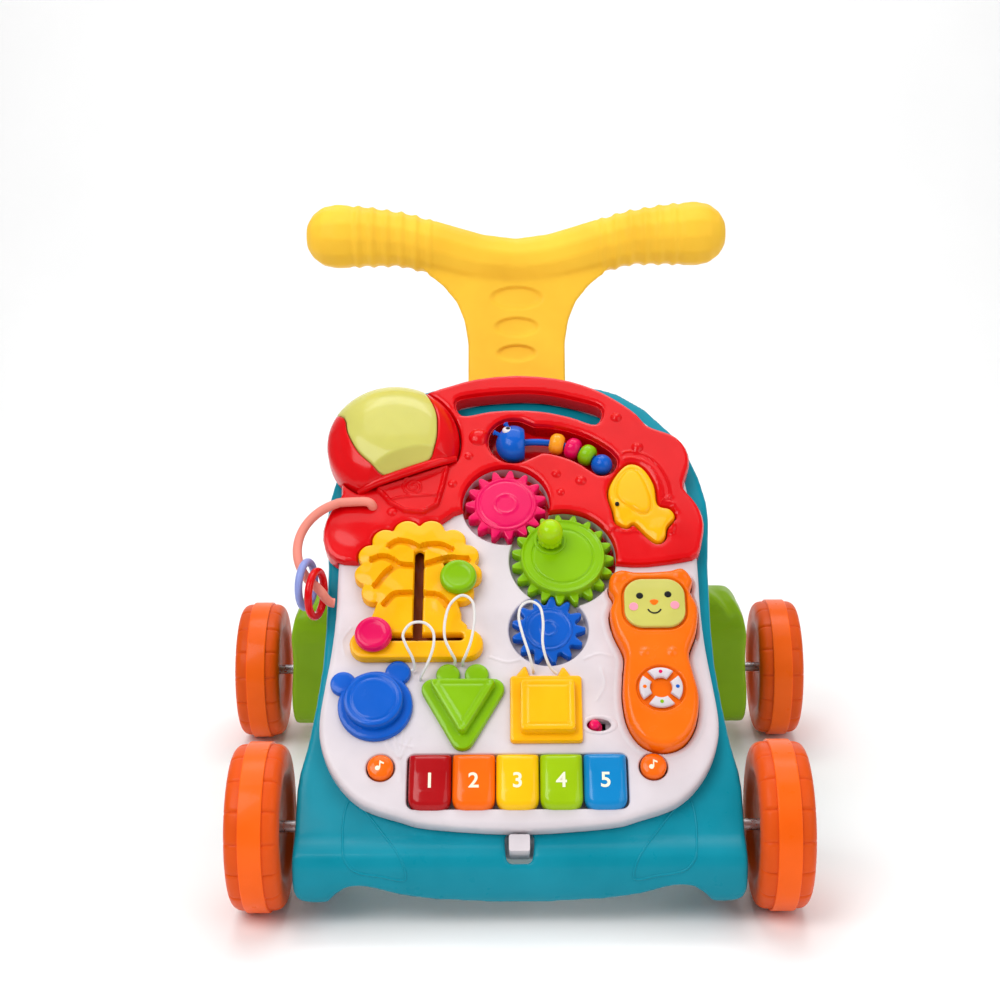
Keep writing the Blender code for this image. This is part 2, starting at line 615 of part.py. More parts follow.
def build_shell(panel):
    shell = plate("panel_shell", "white", panel_outline(), PANEL_BACK, 0, panel)
    cut(shell, cutter("shell_inside", grow(panel_outline(), -PLATE), PANEL_BACK - 5, -PLATE, panel))
    for name, (centre, teeth, first, colour, well, *rest) in GEARS.items():
        cut(shell, cutter(name + "_well", circle(centre, well, 24), -20, 20, panel))
    cut(shell, cutter("tree_window", box_outline(-108, 130, -36, 216, 10), -20, 5, panel))
    cut(shell, cutter("key_window", box_outline(KEY_EDGES[0] - 0.9, KEY_SPAN[0] - 1.2, KEY_EDGES[-1] + 0.9,
                                                KEY_SPAN[1] + 0.7, 1.5), -20, 5, panel))
    cut(shell, cutter("phone_cradle", grow(phone_outline(), 0.6), -20, 5, panel))
    cut(shell, cutter("power_window", capsule((51, 74), (59, 74), 4.2, 5), -20, 5, panel))
    for name, (colour, flange, ears, raised, middle) in shape_outlines().items():
        cut(shell, cutter(name + "_hole", grow(raised, 0.5), -20, 5, panel))
    for name, x in (("left", -94), ("right", 91)):
        cut(shell, cutter(f"music_hole_{name}", circle((x, 43), 9.5, 20), -20, 5, panel))
    upper = [cutter("bird_hole", grow(bird_outline(), 0.6), -20, 20, panel),
             cutter("bead_well", bead_well_outline(), -20, 20, panel),
             cutter("carry_slot", slot_outline(), -20, 20, panel),
             cutter("balloon_hole", circle(BALLOON_CENTRE, BALLOON_RADIUS + 0.7, 28), -20, 20, panel)]
    cut(shell, *upper)
    return upper


def bead_well_outline():
    head = Vector(BEAD_ARC_CENTRE) + Vector(arc((0, 0), BEAD_ARC_RADIUS, HEAD_ANGLE, HEAD_ANGLE, 1)[0])
    outer = arc(BEAD_ARC_CENTRE, BEAD_ARC_RADIUS + 12, 90, 46, 6)
    tail = arc(beside(BEAD_ARC_CENTRE, TAIL_ANGLE, BEAD_ARC_RADIUS), 12.0, 20, -110, 5)
    inner = arc(BEAD_ARC_CENTRE, BEAD_ARC_RADIUS - 12, 48, 84, 5)
    left = arc(head, 19.5, 300, 70, 12)
    return list(reversed(outer + tail + inner + left))


def build_red_overlay(panel, upper):
    red = plate("red_overlay", "red", red_outline(), -9.0, RED_TOP, panel)
    cut(red, cutter("shell_footprint", grow(panel_outline(), GAP), -20, GAP, panel))
    cut(red, *upper)
    for name in ("gear_green", "gear_pink"):
        cut(red, bpy.data.objects[name + "_well"])
    cut(red, cutter("tree_footprint", tree_outline(0.6), -20, 20, panel))


def build_balloon(panel):
    """A dome: the yellow lens fills its middle up to the top edge, the housing is what is left."""
    r = BALLOON_RADIUS
    profile = [(0.0, 26), (24, 24), (42, 17.5), (r, 4), (r, -9), (r - 3, -9), (r - 3, 4), (39.5, 14.8),
               (22, 21), (0.0, 23)]
    place_at = (*BALLOON_CENTRE, 0)
    housing = turned("balloon_housing", "red", profile, 28, panel, place_at, closed=False)
    lens = turned("lamp_lens", "lens", profile, 28, panel, place_at, closed=False)
    pennant = [(-97, 270), (-71, 278), (-62, 300), (-61, 322), (-70, 345), (-85, 380), (-150, 380), (-140, 330),
               (-127, 305), (-113, 288)]
    boolean(lens, cutter("lens_area", pennant, -4, 40, panel), "INTERSECT")
    cut(housing, cutter("lens_opening", grow(pennant, GAP), -4 - GAP, 40, panel))
    basket = rounded([(-109, 263), (-94, 246), (-80, 239.5), (-66, 242), (-58, 256), (-55, 279)], 2.5, 2)
    join(housing, plate("balloon_basket", "red", basket, RED_TOP + GAP, 14, panel))


def build_tree(panel):
    tree = plate("tree_plate", "yellow", tree_outline(), GAP, TREE_TOP, panel)
    cut(tree, *tree_slots(panel))
    plate("tree_backing", "brown", box_outline(-107, 131, -37, 215, 9), -9.2, -5.5, panel)
    for name, colour, centre in (("slider_pink", "pink", (-101.5, 138.5)), ("slider_green", "green", (-42.5, 184.0))):
        profile = [(0.0, 15.8), (12.2, 15), (13.2, 9.4), (1.9, 9.4), (1.9, -0.6), (4.2, -0.6), (4.2, -2.4),
                   (0.0, -2.4)]
        turned(name, colour, profile, 18, panel, (*centre, 0), closed=False)


def build_bead_rail(panel):
    head_at = beside(BEAD_ARC_CENTRE, HEAD_ANGLE, BEAD_ARC_RADIUS)
    rod_points = [(*p, 0.0) for p in arc(BEAD_ARC_CENTRE, BEAD_ARC_RADIUS, HEAD_ANGLE - 4, TAIL_ANGLE, 14)]
    body = tube("bead_rail", "blue", rod_points, BEAD_ROD_RADIUS, panel, None, 2)
    head = turned("bead_rail_head", "blue", [(0, 12), (6, 11), (10.5, 7), (13, 0), (12, -5), (8, -8.6), (0, -8.8)],
                  16, panel, (*head_at, 0), closed=False)
    tail_at = beside(BEAD_ARC_CENTRE, TAIL_ANGLE, BEAD_ARC_RADIUS)
    tail = turned("bead_rail_tail", "blue", [(0, 8), (4.5, 6.6), (7.3, 3.2), (8, 0), (7.3, -3.2), (4.5, -6.6),
                                              (0, -8)], 14, panel, (*tail_at, 0), closed=False)
    join(body, head, tail)
    for index, (angle, length) in enumerate(((118, 7), (86, 7))):
        foot = Vector((*beside(head_at, angle, 9), 3.0))
        tip = Vector((*beside(head_at, angle, 9 + length), 5.0))
        join(body, tube(f"antenna_{index}", "blue", [foot, tip], 1.6, panel, None, 1))
    centre = empty("bead_arc_centre", (*BEAD_ARC_CENTRE, 0), parent=panel)
    for name, angle in BEAD_ANGLES.items():
        bore = BEAD_ROD_RADIUS + 0.6
        profile = [(8.2, 2.2), (8.2, -2.2), (5.8, -5.35), (bore, -5.35), (bore, 5.35), (5.8, 5.35)]
        x, y = beside((0, 0), angle, BEAD_ARC_RADIUS)
        turned(name, name.split("_")[1], profile, 12, centre, (x, y, 0), (90, 0, angle))


def build_hoop(panel):
    cx, cy, ch = HOOP_CENTRE
    ring_part = [(x, y, ch) for x, y in arc((cx, cy), HOOP_RADIUS, 97, 240, 13)]
    start = [(-106.5, 246, RED_TOP + GAP), (-106.5, 246, 8.2), (-108.2, 246.8, 10.8), (-113, 247.8, 11.3)]
    end = [(-139.8, 173.2, 9.3), (-138.2, 172.2, 5.0), (-136.6, 172, 0.6), (-134.4, 172, -3.2), (-131.9, 172, -4.2)]
    path = [Vector(p) for p in start + ring_part + end]
    tube("hoop", "salmon", path, 3.4, panel, None, 2)
    for name, colour, x in (("ring_lavender", "lavender", -151.2), ("ring_red", "red", -143.9)):
        angle = -math.acos((x - cx) / HOOP_RADIUS)
        hang = RING_HANG * math.sin(math.radians(45))
        holder = empty(name + "_hinge", (x, cy + HOOP_RADIUS * math.sin(angle), ch), parent=panel)
        upright = Vector((0, 1, 1))        # world +Z in the panel's frame
        holder.rotation_euler = Matrix.Rotation(math.radians(-RING_TURN), 3, upright).to_euler()
        profile = [(RING_RADIUS + RING_TUBE * math.cos(a), RING_TUBE * math.sin(a))
                   for a in [-TAU * (k + 0.5) / 6 for k in range(6)]]
        turned(name, colour, profile, 18, holder, (0, -hang, -hang), (0, 90, 0))


def build_bird(panel):
    plate("bird_button", "yellow", bird_outline(), -7.4, 9, panel)


def build_gears(panel):
    for name, (centre, teeth, first, colour, well, tooth_top, disc, disc_top) in GEARS.items():
        outline = [(centre[0] + x, centre[1] + y) for x, y in gear_outline(teeth, first)]
        gear = plate(name, colour, outline, -6, tooth_top, panel, None, centre)
        join(gear, plate(name + "_face", colour, circle(centre, disc, 24), tooth_top - 1, disc_top, panel))
        cut(gear, turned_cutter(name + "_bore", rod_profile(4.5, -10, -0.5), 12, panel, (*centre, 0)))
    knob_at = (GREEN_CENTRE[0] - 9, GREEN_CENTRE[1] + 13)
    cut(bpy.data.objects["gear_green"],
        turned_cutter("knob_bore", rod_profile(3.4, 1, 12), 14, panel, (*knob_at, 0)))
    knob = [(0.0, 27), (5, 26), (8.4, 22), (9.4, 17), (8.8, 10), (8.8, 7.3), (3.0, 7.3), (3.0, 3), (0.0, 3)]
    turned("crank_knob", "green", knob, 16, panel, (*knob_at, 0), closed=False)


def build_keys(panel):
    profile = [(KEY_SPAN[1], -5.2), (KEY_SPAN[1], 4.2), (38, 5.6), (24, 5.4), (16, 4.2), (13, 2.4), (KEY_SPAN[0], -0.5),
               (KEY_SPAN[0], -5.2)]
    names = ("key_red", "key_orange", "key_yellow", "key_green", "key_blue")
    colours = ("dark_red", "orange", "yellow", "green", "sky")
    for name, colour, x0, x1 in zip(names, colours, KEY_EDGES[:-1], KEY_EDGES[1:]):
        half = (x1 - x0) / 2 - 0.3
        side_prism(name, colour, list(reversed(profile)), half, panel, None, (x0 + x1) / 2)


def build_buttons(panel):
    for name, x in (("music_button_left", -94), ("music_button_right", 91)):
        profile = [(0.0, 4.6), (6.5, 4.2), (8.9, 2.6), (8.9, -7), (0.0, -7)]
        turned(name, "orange", profile, 16, panel, (x, 43, 0), closed=False)
    profile = [(0.0, 2.6), (3.0, 2.2), (3.5, 1), (3.5, -4), (5.4, -4), (5.4, -6), (0.0, -6)]
    turned("power_slider", "pink", profile, 14, panel, (52, 74, 0), closed=False)


def build_phone(panel):
    phone = plate("phone_body", "orange", phone_outline(), -8.4, PHONE_TOP, panel)
    screen = box_outline(75, 143, 118, 181, 13, 5)
    cut(phone, cutter("screen_pocket", grow(screen, GAP), PHONE_TOP - 2, PHONE_TOP + 5, panel))
    plate("phone_screen", "lens", screen, PHONE_TOP - 2 + GAP, PHONE_TOP + 1.2, panel)
    ring = turned_cutter("pad_pocket", rod_profile(13.4, PHONE_TOP - 3, PHONE_TOP + 5), 28, panel, (*PAD_CENTRE, 0))
    cut(phone, ring)
    for name, direction in (("phone_button_up", 90), ("phone_button_right", 0), ("phone_button_down", 270),
                            ("phone_button_left", 180)):
        outline = (arc(PAD_CENTRE, 12.9, direction - 40, direction + 40, 6)
                   + arc(PAD_CENTRE, 5.0, direction + 33, direction - 33, 3))
        plate(name, "white", outline, PHONE_TOP - 1.6, PHONE_TOP + 1.4, panel)


def build_shapes(panel):
    for name, (colour, flange, ears, raised, middle) in shape_outlines().items():
        piece = plate(name, colour, flange, GAP, SHAPE_FLANGE_TOP, panel, None, middle)
        join(piece, *[plate(f"{name}_ear_{i}", colour, ear, GAP, SHAPE_FLANGE_TOP, panel)
                      for i, ear in enumerate(ears)])
        join(piece, plate(name + "_face", colour, raised, -4, SHAPE_TOP, panel))


def build_strings(panel):
    """Each piece's cord: out of the panel, over in a springy loop and down to the side of the piece's ear."""
    routes = {
        "string_blue": [(-68.5, 108.5, GAP), (-67, 109.5, 7), (-62.5, 115.5, 14), (-58.8, 126, 18.5), (-59.2, 136, 20.5),
                        (-65.5, 142.5, 21), (-74.5, 142, 21), (-80, 134, 20.5), (-77.8, 126.5, 18), (-73.6, 120, 12),
                        (-72.4, 115.5, 5), (-74.5, 114.4, 3)],
        "string_green": [(-39, 119.3, GAP), (-38.5, 119.6, 7), (-36, 122, 14), (-32.5, 131, 18.5), (-30.5, 146, 20.5),
                         (-32, 159, 21), (-39.5, 164, 21), (-47.5, 157, 21), (-51, 144, 20.5), (-51, 132, 18.5),
                         (-47, 123.5, 14.5), (-44.2, 120.6, 8), (-44.5, 119, 3)],
        "string_yellow": [(10.5, 113.5, GAP), (10, 114.5, 6), (7, 124, 12), (3, 137, 14), (0.5, 150, 14),
                          (2.5, 159, 14), (9, 162.5, 14), (15.5, 158, 14), (17.5, 146, 14), (17, 131, 13.5),
                          (19, 121, 10.5), (22.5, 114.5, 6), (26.7, 111.4, 3)],
    }
    for name, route in routes.items():
        tube(name, "white", smooth_path(route, 2), 1.0, panel, None, 2)


def build_back(panel):
    """The cover behind the panel carries the battery box, the gears' posts and the electronics."""
    floor = -9.5
    cover = plate("panel_back_cover", "white", grow(panel_outline(), -PLATE - GAP), PANEL_BACK, floor, panel)
    x0, t0, x1, t1 = BATTERY_BOX
    join(cover, plate("battery_box", "white", box_outline(x0, t0, x1, t1, 4), -38, floor - 1, panel))
    cut(cover, cutter("battery_room", box_outline(x0 + 2, t0 + 2, x1 - 2, t1 - 2, 2.5), -36, 5, panel))
    door = box_outline(x0 + 6, t0 + 6, 10, t1 - 6, 3)
    cut(cover, cutter("battery_door_hole", grow(door, GAP), -50, -30, panel))
    cut(cover, cutter("carry_slot_through", grow(slot_outline(), 1.0), -30, 10, panel))
    plate("battery_cover", "white", door, -38.4, -36.2, panel)
    plate("battery_pack", "black", box_outline(x0 + 7, t0 + 7, 5, t1 - 7, 6), -34.5, -20, panel)
    turned("speaker", "black", [(0, -22), (9, -22), (20, -25), (20, -27), (10, -31), (0, -31)], 24, panel,
           (36, 87, 0), closed=False)
    plate("circuit_board", "board", box_outline(x0 + 4, t0 + 4, x1 - 4, t1 - 4), -14.5, -13, panel)
    for name, (centre, *rest) in GEARS.items():
        join(cover, turned(name + "_post", "white", rod_profile(4.0, floor - 1, -1.2), 12, panel, (*centre, 0),
                           closed=False))


clear_scene()
PARTS = new_collection("baby_walker")
CUTTERS = new_collection("cutters")

panel_frame = empty("panel_frame", (0, *PANEL_FOOT), (PANEL_SLOPE, 0, 0))
front_frame = build_frame(panel_frame)
build_latch(panel_frame)
build_handle(front_frame)
build_rear_frame()
build_running_gear()
upper_openings = build_shell(panel_frame)
build_red_overlay(panel_frame, upper_openings)
build_back(panel_frame)
build_balloon(panel_frame)
build_tree(panel_frame)
build_bead_rail(panel_frame)
build_hoop(panel_frame)
build_bird(panel_frame)
build_gears(panel_frame)
build_keys(panel_frame)
build_buttons(panel_frame)
build_phone(panel_frame)
build_shapes(panel_frame)
build_strings(panel_frame)
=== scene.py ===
"""Looks of the baby walker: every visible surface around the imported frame.  Metres, +Z up, -Y is the front.

The activity panel is drawn in its own frame: x across, t up the slope, h out of the white surface.
Lengths in the drawing helpers are millimetres."""

import math

import bmesh
import bpy
import numpy as np
from mathutils import Matrix, Vector
from mathutils.geometry import delaunay_2d_cdt
from mathutils.bvhtree import BVHTree
from mathutils.kdtree import KDTree


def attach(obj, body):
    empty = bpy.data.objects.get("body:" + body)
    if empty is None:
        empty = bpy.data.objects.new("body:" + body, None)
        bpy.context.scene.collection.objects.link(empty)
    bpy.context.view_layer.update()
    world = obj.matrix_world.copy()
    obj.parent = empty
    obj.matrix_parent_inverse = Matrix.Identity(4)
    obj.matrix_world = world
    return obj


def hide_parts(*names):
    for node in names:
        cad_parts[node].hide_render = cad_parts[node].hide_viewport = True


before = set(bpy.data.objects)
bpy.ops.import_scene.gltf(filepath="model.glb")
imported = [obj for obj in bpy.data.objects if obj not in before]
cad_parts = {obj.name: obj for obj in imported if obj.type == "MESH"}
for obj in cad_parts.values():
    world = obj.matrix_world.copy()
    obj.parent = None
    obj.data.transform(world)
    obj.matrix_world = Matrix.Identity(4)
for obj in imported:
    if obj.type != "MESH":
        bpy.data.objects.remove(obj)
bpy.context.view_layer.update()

MM = 0.001
TAU = 2 * math.pi
WHEEL_RADIUS = 58.0
HALF_WHEELBASE = 164.75
HALF_FRONT_TRACK = 177.4
HALF_REAR_TRACK = 220.4
PANEL_FOOT = Vector((0.0, -0.19975, 0.072))
PANEL = Matrix.Translation(PANEL_FOOT) @ Matrix.Rotation(math.radians(45), 4, "X")
ALONG_X = Matrix.Rotation(math.radians(90), 4, "Y")
RED_TOP = 6.0
TREE_TOP = 9.0
GEAR_MODULE = 3.6
GREEN_CENTRE = (32.5, 204.0)
GREEN_TEETH = 19
BALLOON_CENTRE = (-93.0, 303.0)
BALLOON_RADIUS = 50.0
ARC_CENTRE = (13.0, 235.0)
ARC_RADIUS = 71.0
ROD_RADIUS = 2.6
HEAD_ANGLE = 102.7
TAIL_ANGLE = 45.0
BEAD_ANGLES = {"bead_orange": 76.1, "bead_pink": 65.9, "bead_green": 56.1}
HOOP_CENTRE = (-119.0, 208.5, 11.0)
HOOP_RADIUS = 40.0
RING_RADIUS = 16.2
RING_TUBE = 2.8
RING_HANG = 5.4
RING_TURN = 14.0
ELBOW = (108, 130)
KNEE = (120, 116)
BAR_START = (-113.0, 260.5)
BAR_SLOPE = math.radians(21.4)
KEY_EDGES = (-75.0, -45.4, -15.8, 13.8, 43.4, 73.0)
KEY_SPAN = (12.0, 51.8)
PHONE_TOP = 12.0
PAD_CENTRE = (98.0, 96.5)
RIB_START = 62                  # of the ribbed part of a grip, from the middle
RIB_PITCH = 11.4
NUMERAL_DEPTH = 0.12
KNEE_BOTTOM = 104               # where a rear leg's outer top starts to bend inwards
KNEE_HEIGHT = 42
KNEE_INSET = 27
PLASTIC_IOR = 1.5
PLASTIC_SPECULAR = 0.12
COAT_SHARE = 0.5                # of each hue's coat value
COAT_ROUGHNESS = 0.08


# ---- outlines, most of them the CAD model's ----
def arc(centre, radius, start, end, steps):
    return [(centre[0] + radius * math.cos(math.radians(start + (end - start) * i / steps)),
             centre[1] + radius * math.sin(math.radians(start + (end - start) * i / steps)))
            for i in range(steps + 1)]


def circle(centre, radius, steps=48):
    return arc(centre, radius, 0.0, 360.0, steps)[:-1]


def catmull(a, b, c, d, u):
    return 0.5 * (2 * b + (c - a) * u + (2 * a - 5 * b + 4 * c - d) * u ** 2
                  + (3 * b - a - 3 * c + d) * u ** 3)


def smooth(points, steps=4):
    """A closed smooth curve through the points."""
    count = len(points)
    made = []
    for i in range(count):
        four = [Vector(points[(i + k - 1) % count]) for k in range(4)]
        made += [tuple(catmull(*four, j / steps)) for j in range(steps)]
    return made


def smooth_path(points, steps):
    """An open smooth curve through the points."""
    ends = [Vector(points[0]) * 2 - Vector(points[1])] + [Vector(p) for p in points]
    ends.append(Vector(points[-1]) * 2 - Vector(points[-2]))
    made = []
    for i in range(len(points) - 1):
        made += [catmull(*ends[i:i + 4], j / steps) for j in range(steps)]
    return made + [Vector(points[-1])]


def grow(points, distance):
    """Move a counter-clockwise outline outwards by a distance, or inwards by a negative one."""
    count = len(points)
    made = []
    for i in range(count):
        before, here, after = (Vector(points[(i + k) % count]) for k in (-1, 0, 1))
        one = (here - before).normalized()
        two = (after - here).normalized()
        normal = Vector((one.y + two.y, -one.x - two.x)).normalized()
        made.append(tuple(here + normal * distance / max(0.5, normal.dot(Vector((one.y, -one.x))))))
    return made


def mirrored(points):
    return points + [(-x, y) for x, y in reversed(points) if x != 0.0]


def rounded(corners, radius, steps=6):
    """A polygon with arcs at its corners."""
    count = len(corners)
    made = []
    for i in range(count):
        before, here, after = (Vector(corners[(i + k) % count]) for k in (-1, 0, 1))
        one = (before - here).normalized()
        two = (after - here).normalized()
        half = one.angle(two) / 2
        centre = here + (one + two).normalized() * (radius / math.sin(half))
        start = here + one * (radius / math.tan(half)) - centre
        end = here + two * (radius / math.tan(half)) - centre
        first = math.degrees(math.atan2(start.y, start.x))
        sweep = math.degrees(math.remainder(math.atan2(end.y, end.x) - math.radians(first), TAU))
        made += arc(centre, radius, first, first + sweep, steps)
    return made


def box_outline(x0, y0, x1, y1, radius=0.0, steps=6):
    corners = [(x0, y0), (x1, y0), (x1, y1), (x0, y1)]
    return rounded(corners, radius, steps) if radius else corners


def capsule(start, end, radius, steps=8):
    heading = math.degrees(math.atan2(end[1] - start[1], end[0] - start[0]))
    return (arc(end, radius, heading - 90, heading + 90, steps)
            + arc(start, radius, heading + 90, heading + 270, steps))


def beside(centre, direction, distance):
    angle = math.radians(direction)
    return (centre[0] + distance * math.cos(angle), centre[1] + distance * math.sin(angle))


def on_panel(x, y, out):
    """A place in the panel's own frame, with its axes along the panel's."""
    return PANEL @ Matrix.Translation(Vector((x, y, out)) * MM)


def flat_at(level):
    """The height of a flat relief."""
    return lambda x, y, rim: 0 * x + level


def panel_outline():
    return mirrored([(0, -1), (60, 3), (80, 8), (100, 14.5), (111, 21), (121, 31), (130, 45), (136, 62),
                     (137.5, 80), (135, 105), (132, 130), (130, 160), (130, 205), (128, 245), (122, 285),
                     (110, 310), (86, 334), (58, 351), (30, 360), (0, 363)])


def tree_outline(extra=0.0, steps=10):
    centre = Vector((-71.5, 192.5))
    notches = [centre + Vector((41 * math.cos(math.radians(-47 + 27.4 * k)),
                                36 * math.sin(math.radians(-47 + 27.4 * k))))
               for k in range(11)]
    made = []
    for a, b in zip(notches[:-1], notches[1:]):
        across = b - a
        outwards = Vector((across.y, -across.x)).normalized()
        hub = (a + b) / 2 - outwards * 0.16 * across.length
        heading = math.degrees(math.atan2(outwards.y, outwards.x))
        made += arc(hub, 0.525 * across.length, heading - 66, heading + 66, steps)
    left = [(-103, 157), (-105, 152), (-108, 146)] + arc((-107, 133.5), 11.5, 92, 268, steps)
    right = arc((-36, 133.5), 11.5, -88, 88, steps) + [(-36, 148), (-40, 152), (-40, 157)]
    return grow(made + left + right, extra) if extra else made + left + right


def tree_slots():
    runs = [((-71, 139), (-71, 207), 3.4), ((-102.2, 138.5), (-41, 138.5), 2.6),
            ((-51.3, 199), (-42.2, 183.4), 2.6)]
    return [capsule(a, b, r) for a, b, r in runs]


def bird_outline():
    return smooth([(67, 258), (70, 243), (72, 233), (79, 228), (85, 231), (93, 222), (101, 215), (107, 219),
                   (109, 228), (115, 236), (112, 243), (103, 247), (101, 264), (93, 279), (82, 282),
                   (72, 271)])


def phone_outline():
    return smooth([(98, 53), (112, 58), (121, 72), (124, 92), (121, 110), (119, 125), (125, 142), (127, 160),
                   (122.5, 173), (124.5, 183), (118, 191), (109, 190), (96, 189), (83, 189), (75, 190.5),
                   (66.5, 186), (65, 176), (68, 168), (65, 157), (67.5, 142), (74, 125), (73, 110), (72, 92),
                   (75, 72), (84, 58)])


def red_outline():
    return smooth([(72, 198), (88, 197), (100, 198), (120, 201), (130, 205), (134, 218), (136, 231),
                   (134, 243), (129, 253), (123, 262), (125, 272), (128, 282), (128, 292), (124, 302),
                   (117, 309), (108, 313), (98, 318), (91, 328), (80, 338), (66, 348), (50, 356), (30, 362),
                   (0, 365), (-30, 362), (-50, 356), (-70, 348), (-100, 330), (-126, 305), (-131, 280),
                   (-130, 258), (-138, 243), (-142, 228), (-140, 213), (-132, 203), (-117, 200), (-90, 205),
                   (-60, 230), (-50, 238), (-41, 243), (-12, 246), (28, 205)], 2)


def slot_outline():
    lower = [(-42, 328), (-20, 331.5), (0, 332.5), (20, 331), (40, 326), (60, 319)]
    upper = [(64, 334), (42, 343), (20, 348), (0, 349), (-26, 347), (-46, 342)]
    return smooth(lower + upper, 4)


def bead_well_outline():
    head = beside(ARC_CENTRE, HEAD_ANGLE, ARC_RADIUS)
    tail = beside(ARC_CENTRE, TAIL_ANGLE, ARC_RADIUS)
    return list(reversed(arc(ARC_CENTRE, ARC_RADIUS + 12, 90, 46, 14) + arc(tail, 12.0, 20, -110, 12)
                         + arc(ARC_CENTRE, ARC_RADIUS - 12, 48, 84, 12) + arc(head, 19.5, 300, 70, 22)))


def shape_outlines():
    """Flange, ears, raised face and hue of the three shape pieces."""
    return {
        "shape_circle": (circle((-99, 88), 26), [circle((-122, 105), 9), circle((-84, 113), 9)],
                         circle((-99.8, 89.5), 20.5), "blue"),
        "shape_triangle": (rounded([(-73, 108), (-38.5, 46), (-4, 108)], 8),
                           [circle((-49, 111), 8.5), circle((-29, 111), 8.5)],
                           rounded([(-63, 105), (-38.7, 62), (-14, 105)], 3), "green"),
        "shape_square": (box_outline(-6, 60, 44, 110, 3), [rounded([(-5, 106), (9, 106), (5, 119)], 1.5),
                                                           rounded([(25, 106), (39, 106), (31, 118)], 1.5)],
                         box_outline(1, 65.5, 39, 104, 3), "yellow"),
    }


def gear_outline(teeth, first_angle):
    """Round-nosed teeth between the root and tip circles of the CAD gear."""
    pitch = GEAR_MODULE * teeth / 2
    half_tooth = (GEAR_MODULE * math.pi / 2 - 0.5) / 2
    made = []
    for tooth in range(teeth):
        middle = math.radians(first_angle) + TAU * tooth / teeth
        flank = [(-1.0, 1.7), (-0.85, 1.36), (0.0, 1.0), (0.6, 0.62), (0.8, 0.3)]
        side = [(pitch + rise * GEAR_MODULE, width * half_tooth) for rise, width in flank]
        made += [(r * math.cos(middle - w / r), r * math.sin(middle - w / r)) for r, w in side]
        made += [(r * math.cos(middle + w / r), r * math.sin(middle + w / r)) for r, w in reversed(side)]
    return made


def gear_layout():
    """Centre, teeth and first-tooth angle of each gear, as they mesh at rest."""
    made = {"gear_green": (GREEN_CENTRE, GREEN_TEETH, 0.0)}
    for name, teeth, direction in (("gear_pink", 15, 132.0), ("gear_blue", 13, 259.0)):
        first = direction + 180 + direction * GREEN_TEETH / teeth + 180 / teeth
        made[name] = (beside(GREEN_CENTRE, direction, GEAR_MODULE * (GREEN_TEETH + teeth) / 2), teeth, first)
    return made


GEARS = gear_layout()


# ---- materials ----
def linear(code):
    """A hex colour as linear light."""
    parts = [int(code[i:i + 2], 16) / 255 for i in (0, 2, 4)]
    return (*[c / 12.92 if c <= 0.04045 else ((c + 0.055) / 1.055) ** 2.4 for c in parts], 1.0)


PLASTICS = {
    # hue: colour, roughness, coat, light through it, fine grain, mould waves
    "teal": ("008CA2", 0.33, 0.15, 0.0, 0.05, 0.06),
    "red": ("DC000A", 0.20, 0.5, 0.0, 0.02, 0.05),
    "white": ("DCD3D8", 0.32, 0.2, 0.0, 0.04, 0.05),
    "handle": ("FFC638", 0.45, 0.0, 0.05, 0.12, 0.05),
    "yellow": ("FFB800", 0.22, 0.5, 0.05, 0.02, 0.05),
    "green": ("86BC00", 0.22, 0.5, 0.05, 0.02, 0.05),
    "pink": ("E4005A", 0.22, 0.5, 0.03, 0.02, 0.05),
    "blue": ("005AC4", 0.22, 0.5, 0.0, 0.02, 0.05),
    "orange": ("FF7000", 0.24, 0.5, 0.03, 0.02, 0.05),
    "wheel": ("E0520A", 0.42, 0.1, 0.0, 0.10, 0.06),
    "wheel_band": ("FF640A", 0.32, 0.2, 0.0, 0.05, 0.06),
    "leaf": ("80A808", 0.38, 0.1, 0.0, 0.07, 0.06),
    "lens": ("CCC765", 0.18, 0.6, 0.25, 0.01, 0.04),
    "lavender": ("929EDC", 0.3, 0.3, 0.1, 0.03, 0.04),
    "salmon": ("F09282", 0.32, 0.2, 0.08, 0.03, 0.04),
    "brown": ("8A3C00", 0.4, 0.1, 0.0, 0.05, 0.05),
    "dark_red": ("B0000A", 0.16, 0.7, 0.0, 0.01, 0.04),
    "sky": ("0085C8", 0.16, 0.7, 0.0, 0.01, 0.04),
    "key_yellow": ("FFC400", 0.16, 0.7, 0.03, 0.01, 0.04),
    "key_green": ("A0C800", 0.16, 0.7, 0.03, 0.01, 0.04),
    "key_orange": ("FF6C00", 0.16, 0.7, 0.03, 0.01, 0.04),
    "knob": ("A8D400", 0.12, 0.6, 0.35, 0.01, 0.03),
    "black": ("161616", 0.35, 0.2, 0.0, 0.05, 0.05),
    "board": ("0E5A28", 0.4, 0.2, 0.0, 0.05, 0.02),
    "bead_orange": ("FFA01E", 0.22, 0.5, 0.05, 0.02, 0.05),
    "cheek": ("F49AB0", 0.3, 0.3, 0.0, 0.02, 0.02),
    "print": ("FBF6DC", 0.3, 0.3, 0.0, 0.02, 0.02),
    "well": ("C9CCD4", 0.4, 0.1, 0.0, 0.04, 0.04),
}


def noise(tree, vector, scale, detail):
    made = tree.nodes.new("ShaderNodeTexNoise")
    made.inputs["Scale"].default_value = scale
    made.inputs["Detail"].default_value = detail
    tree.links.new(vector, made.inputs["Vector"])
    return made.outputs["Fac"]


def remap(tree, value, low, high):
    made = tree.nodes.new("ShaderNodeMapRange")
    made.inputs["From Min"].default_value = 0.3
    made.inputs["From Max"].default_value = 0.7
    made.inputs["To Min"].default_value = low
    made.inputs["To Max"].default_value = high
    tree.links.new(value, made.inputs["Value"])
    return made.outputs["Result"]


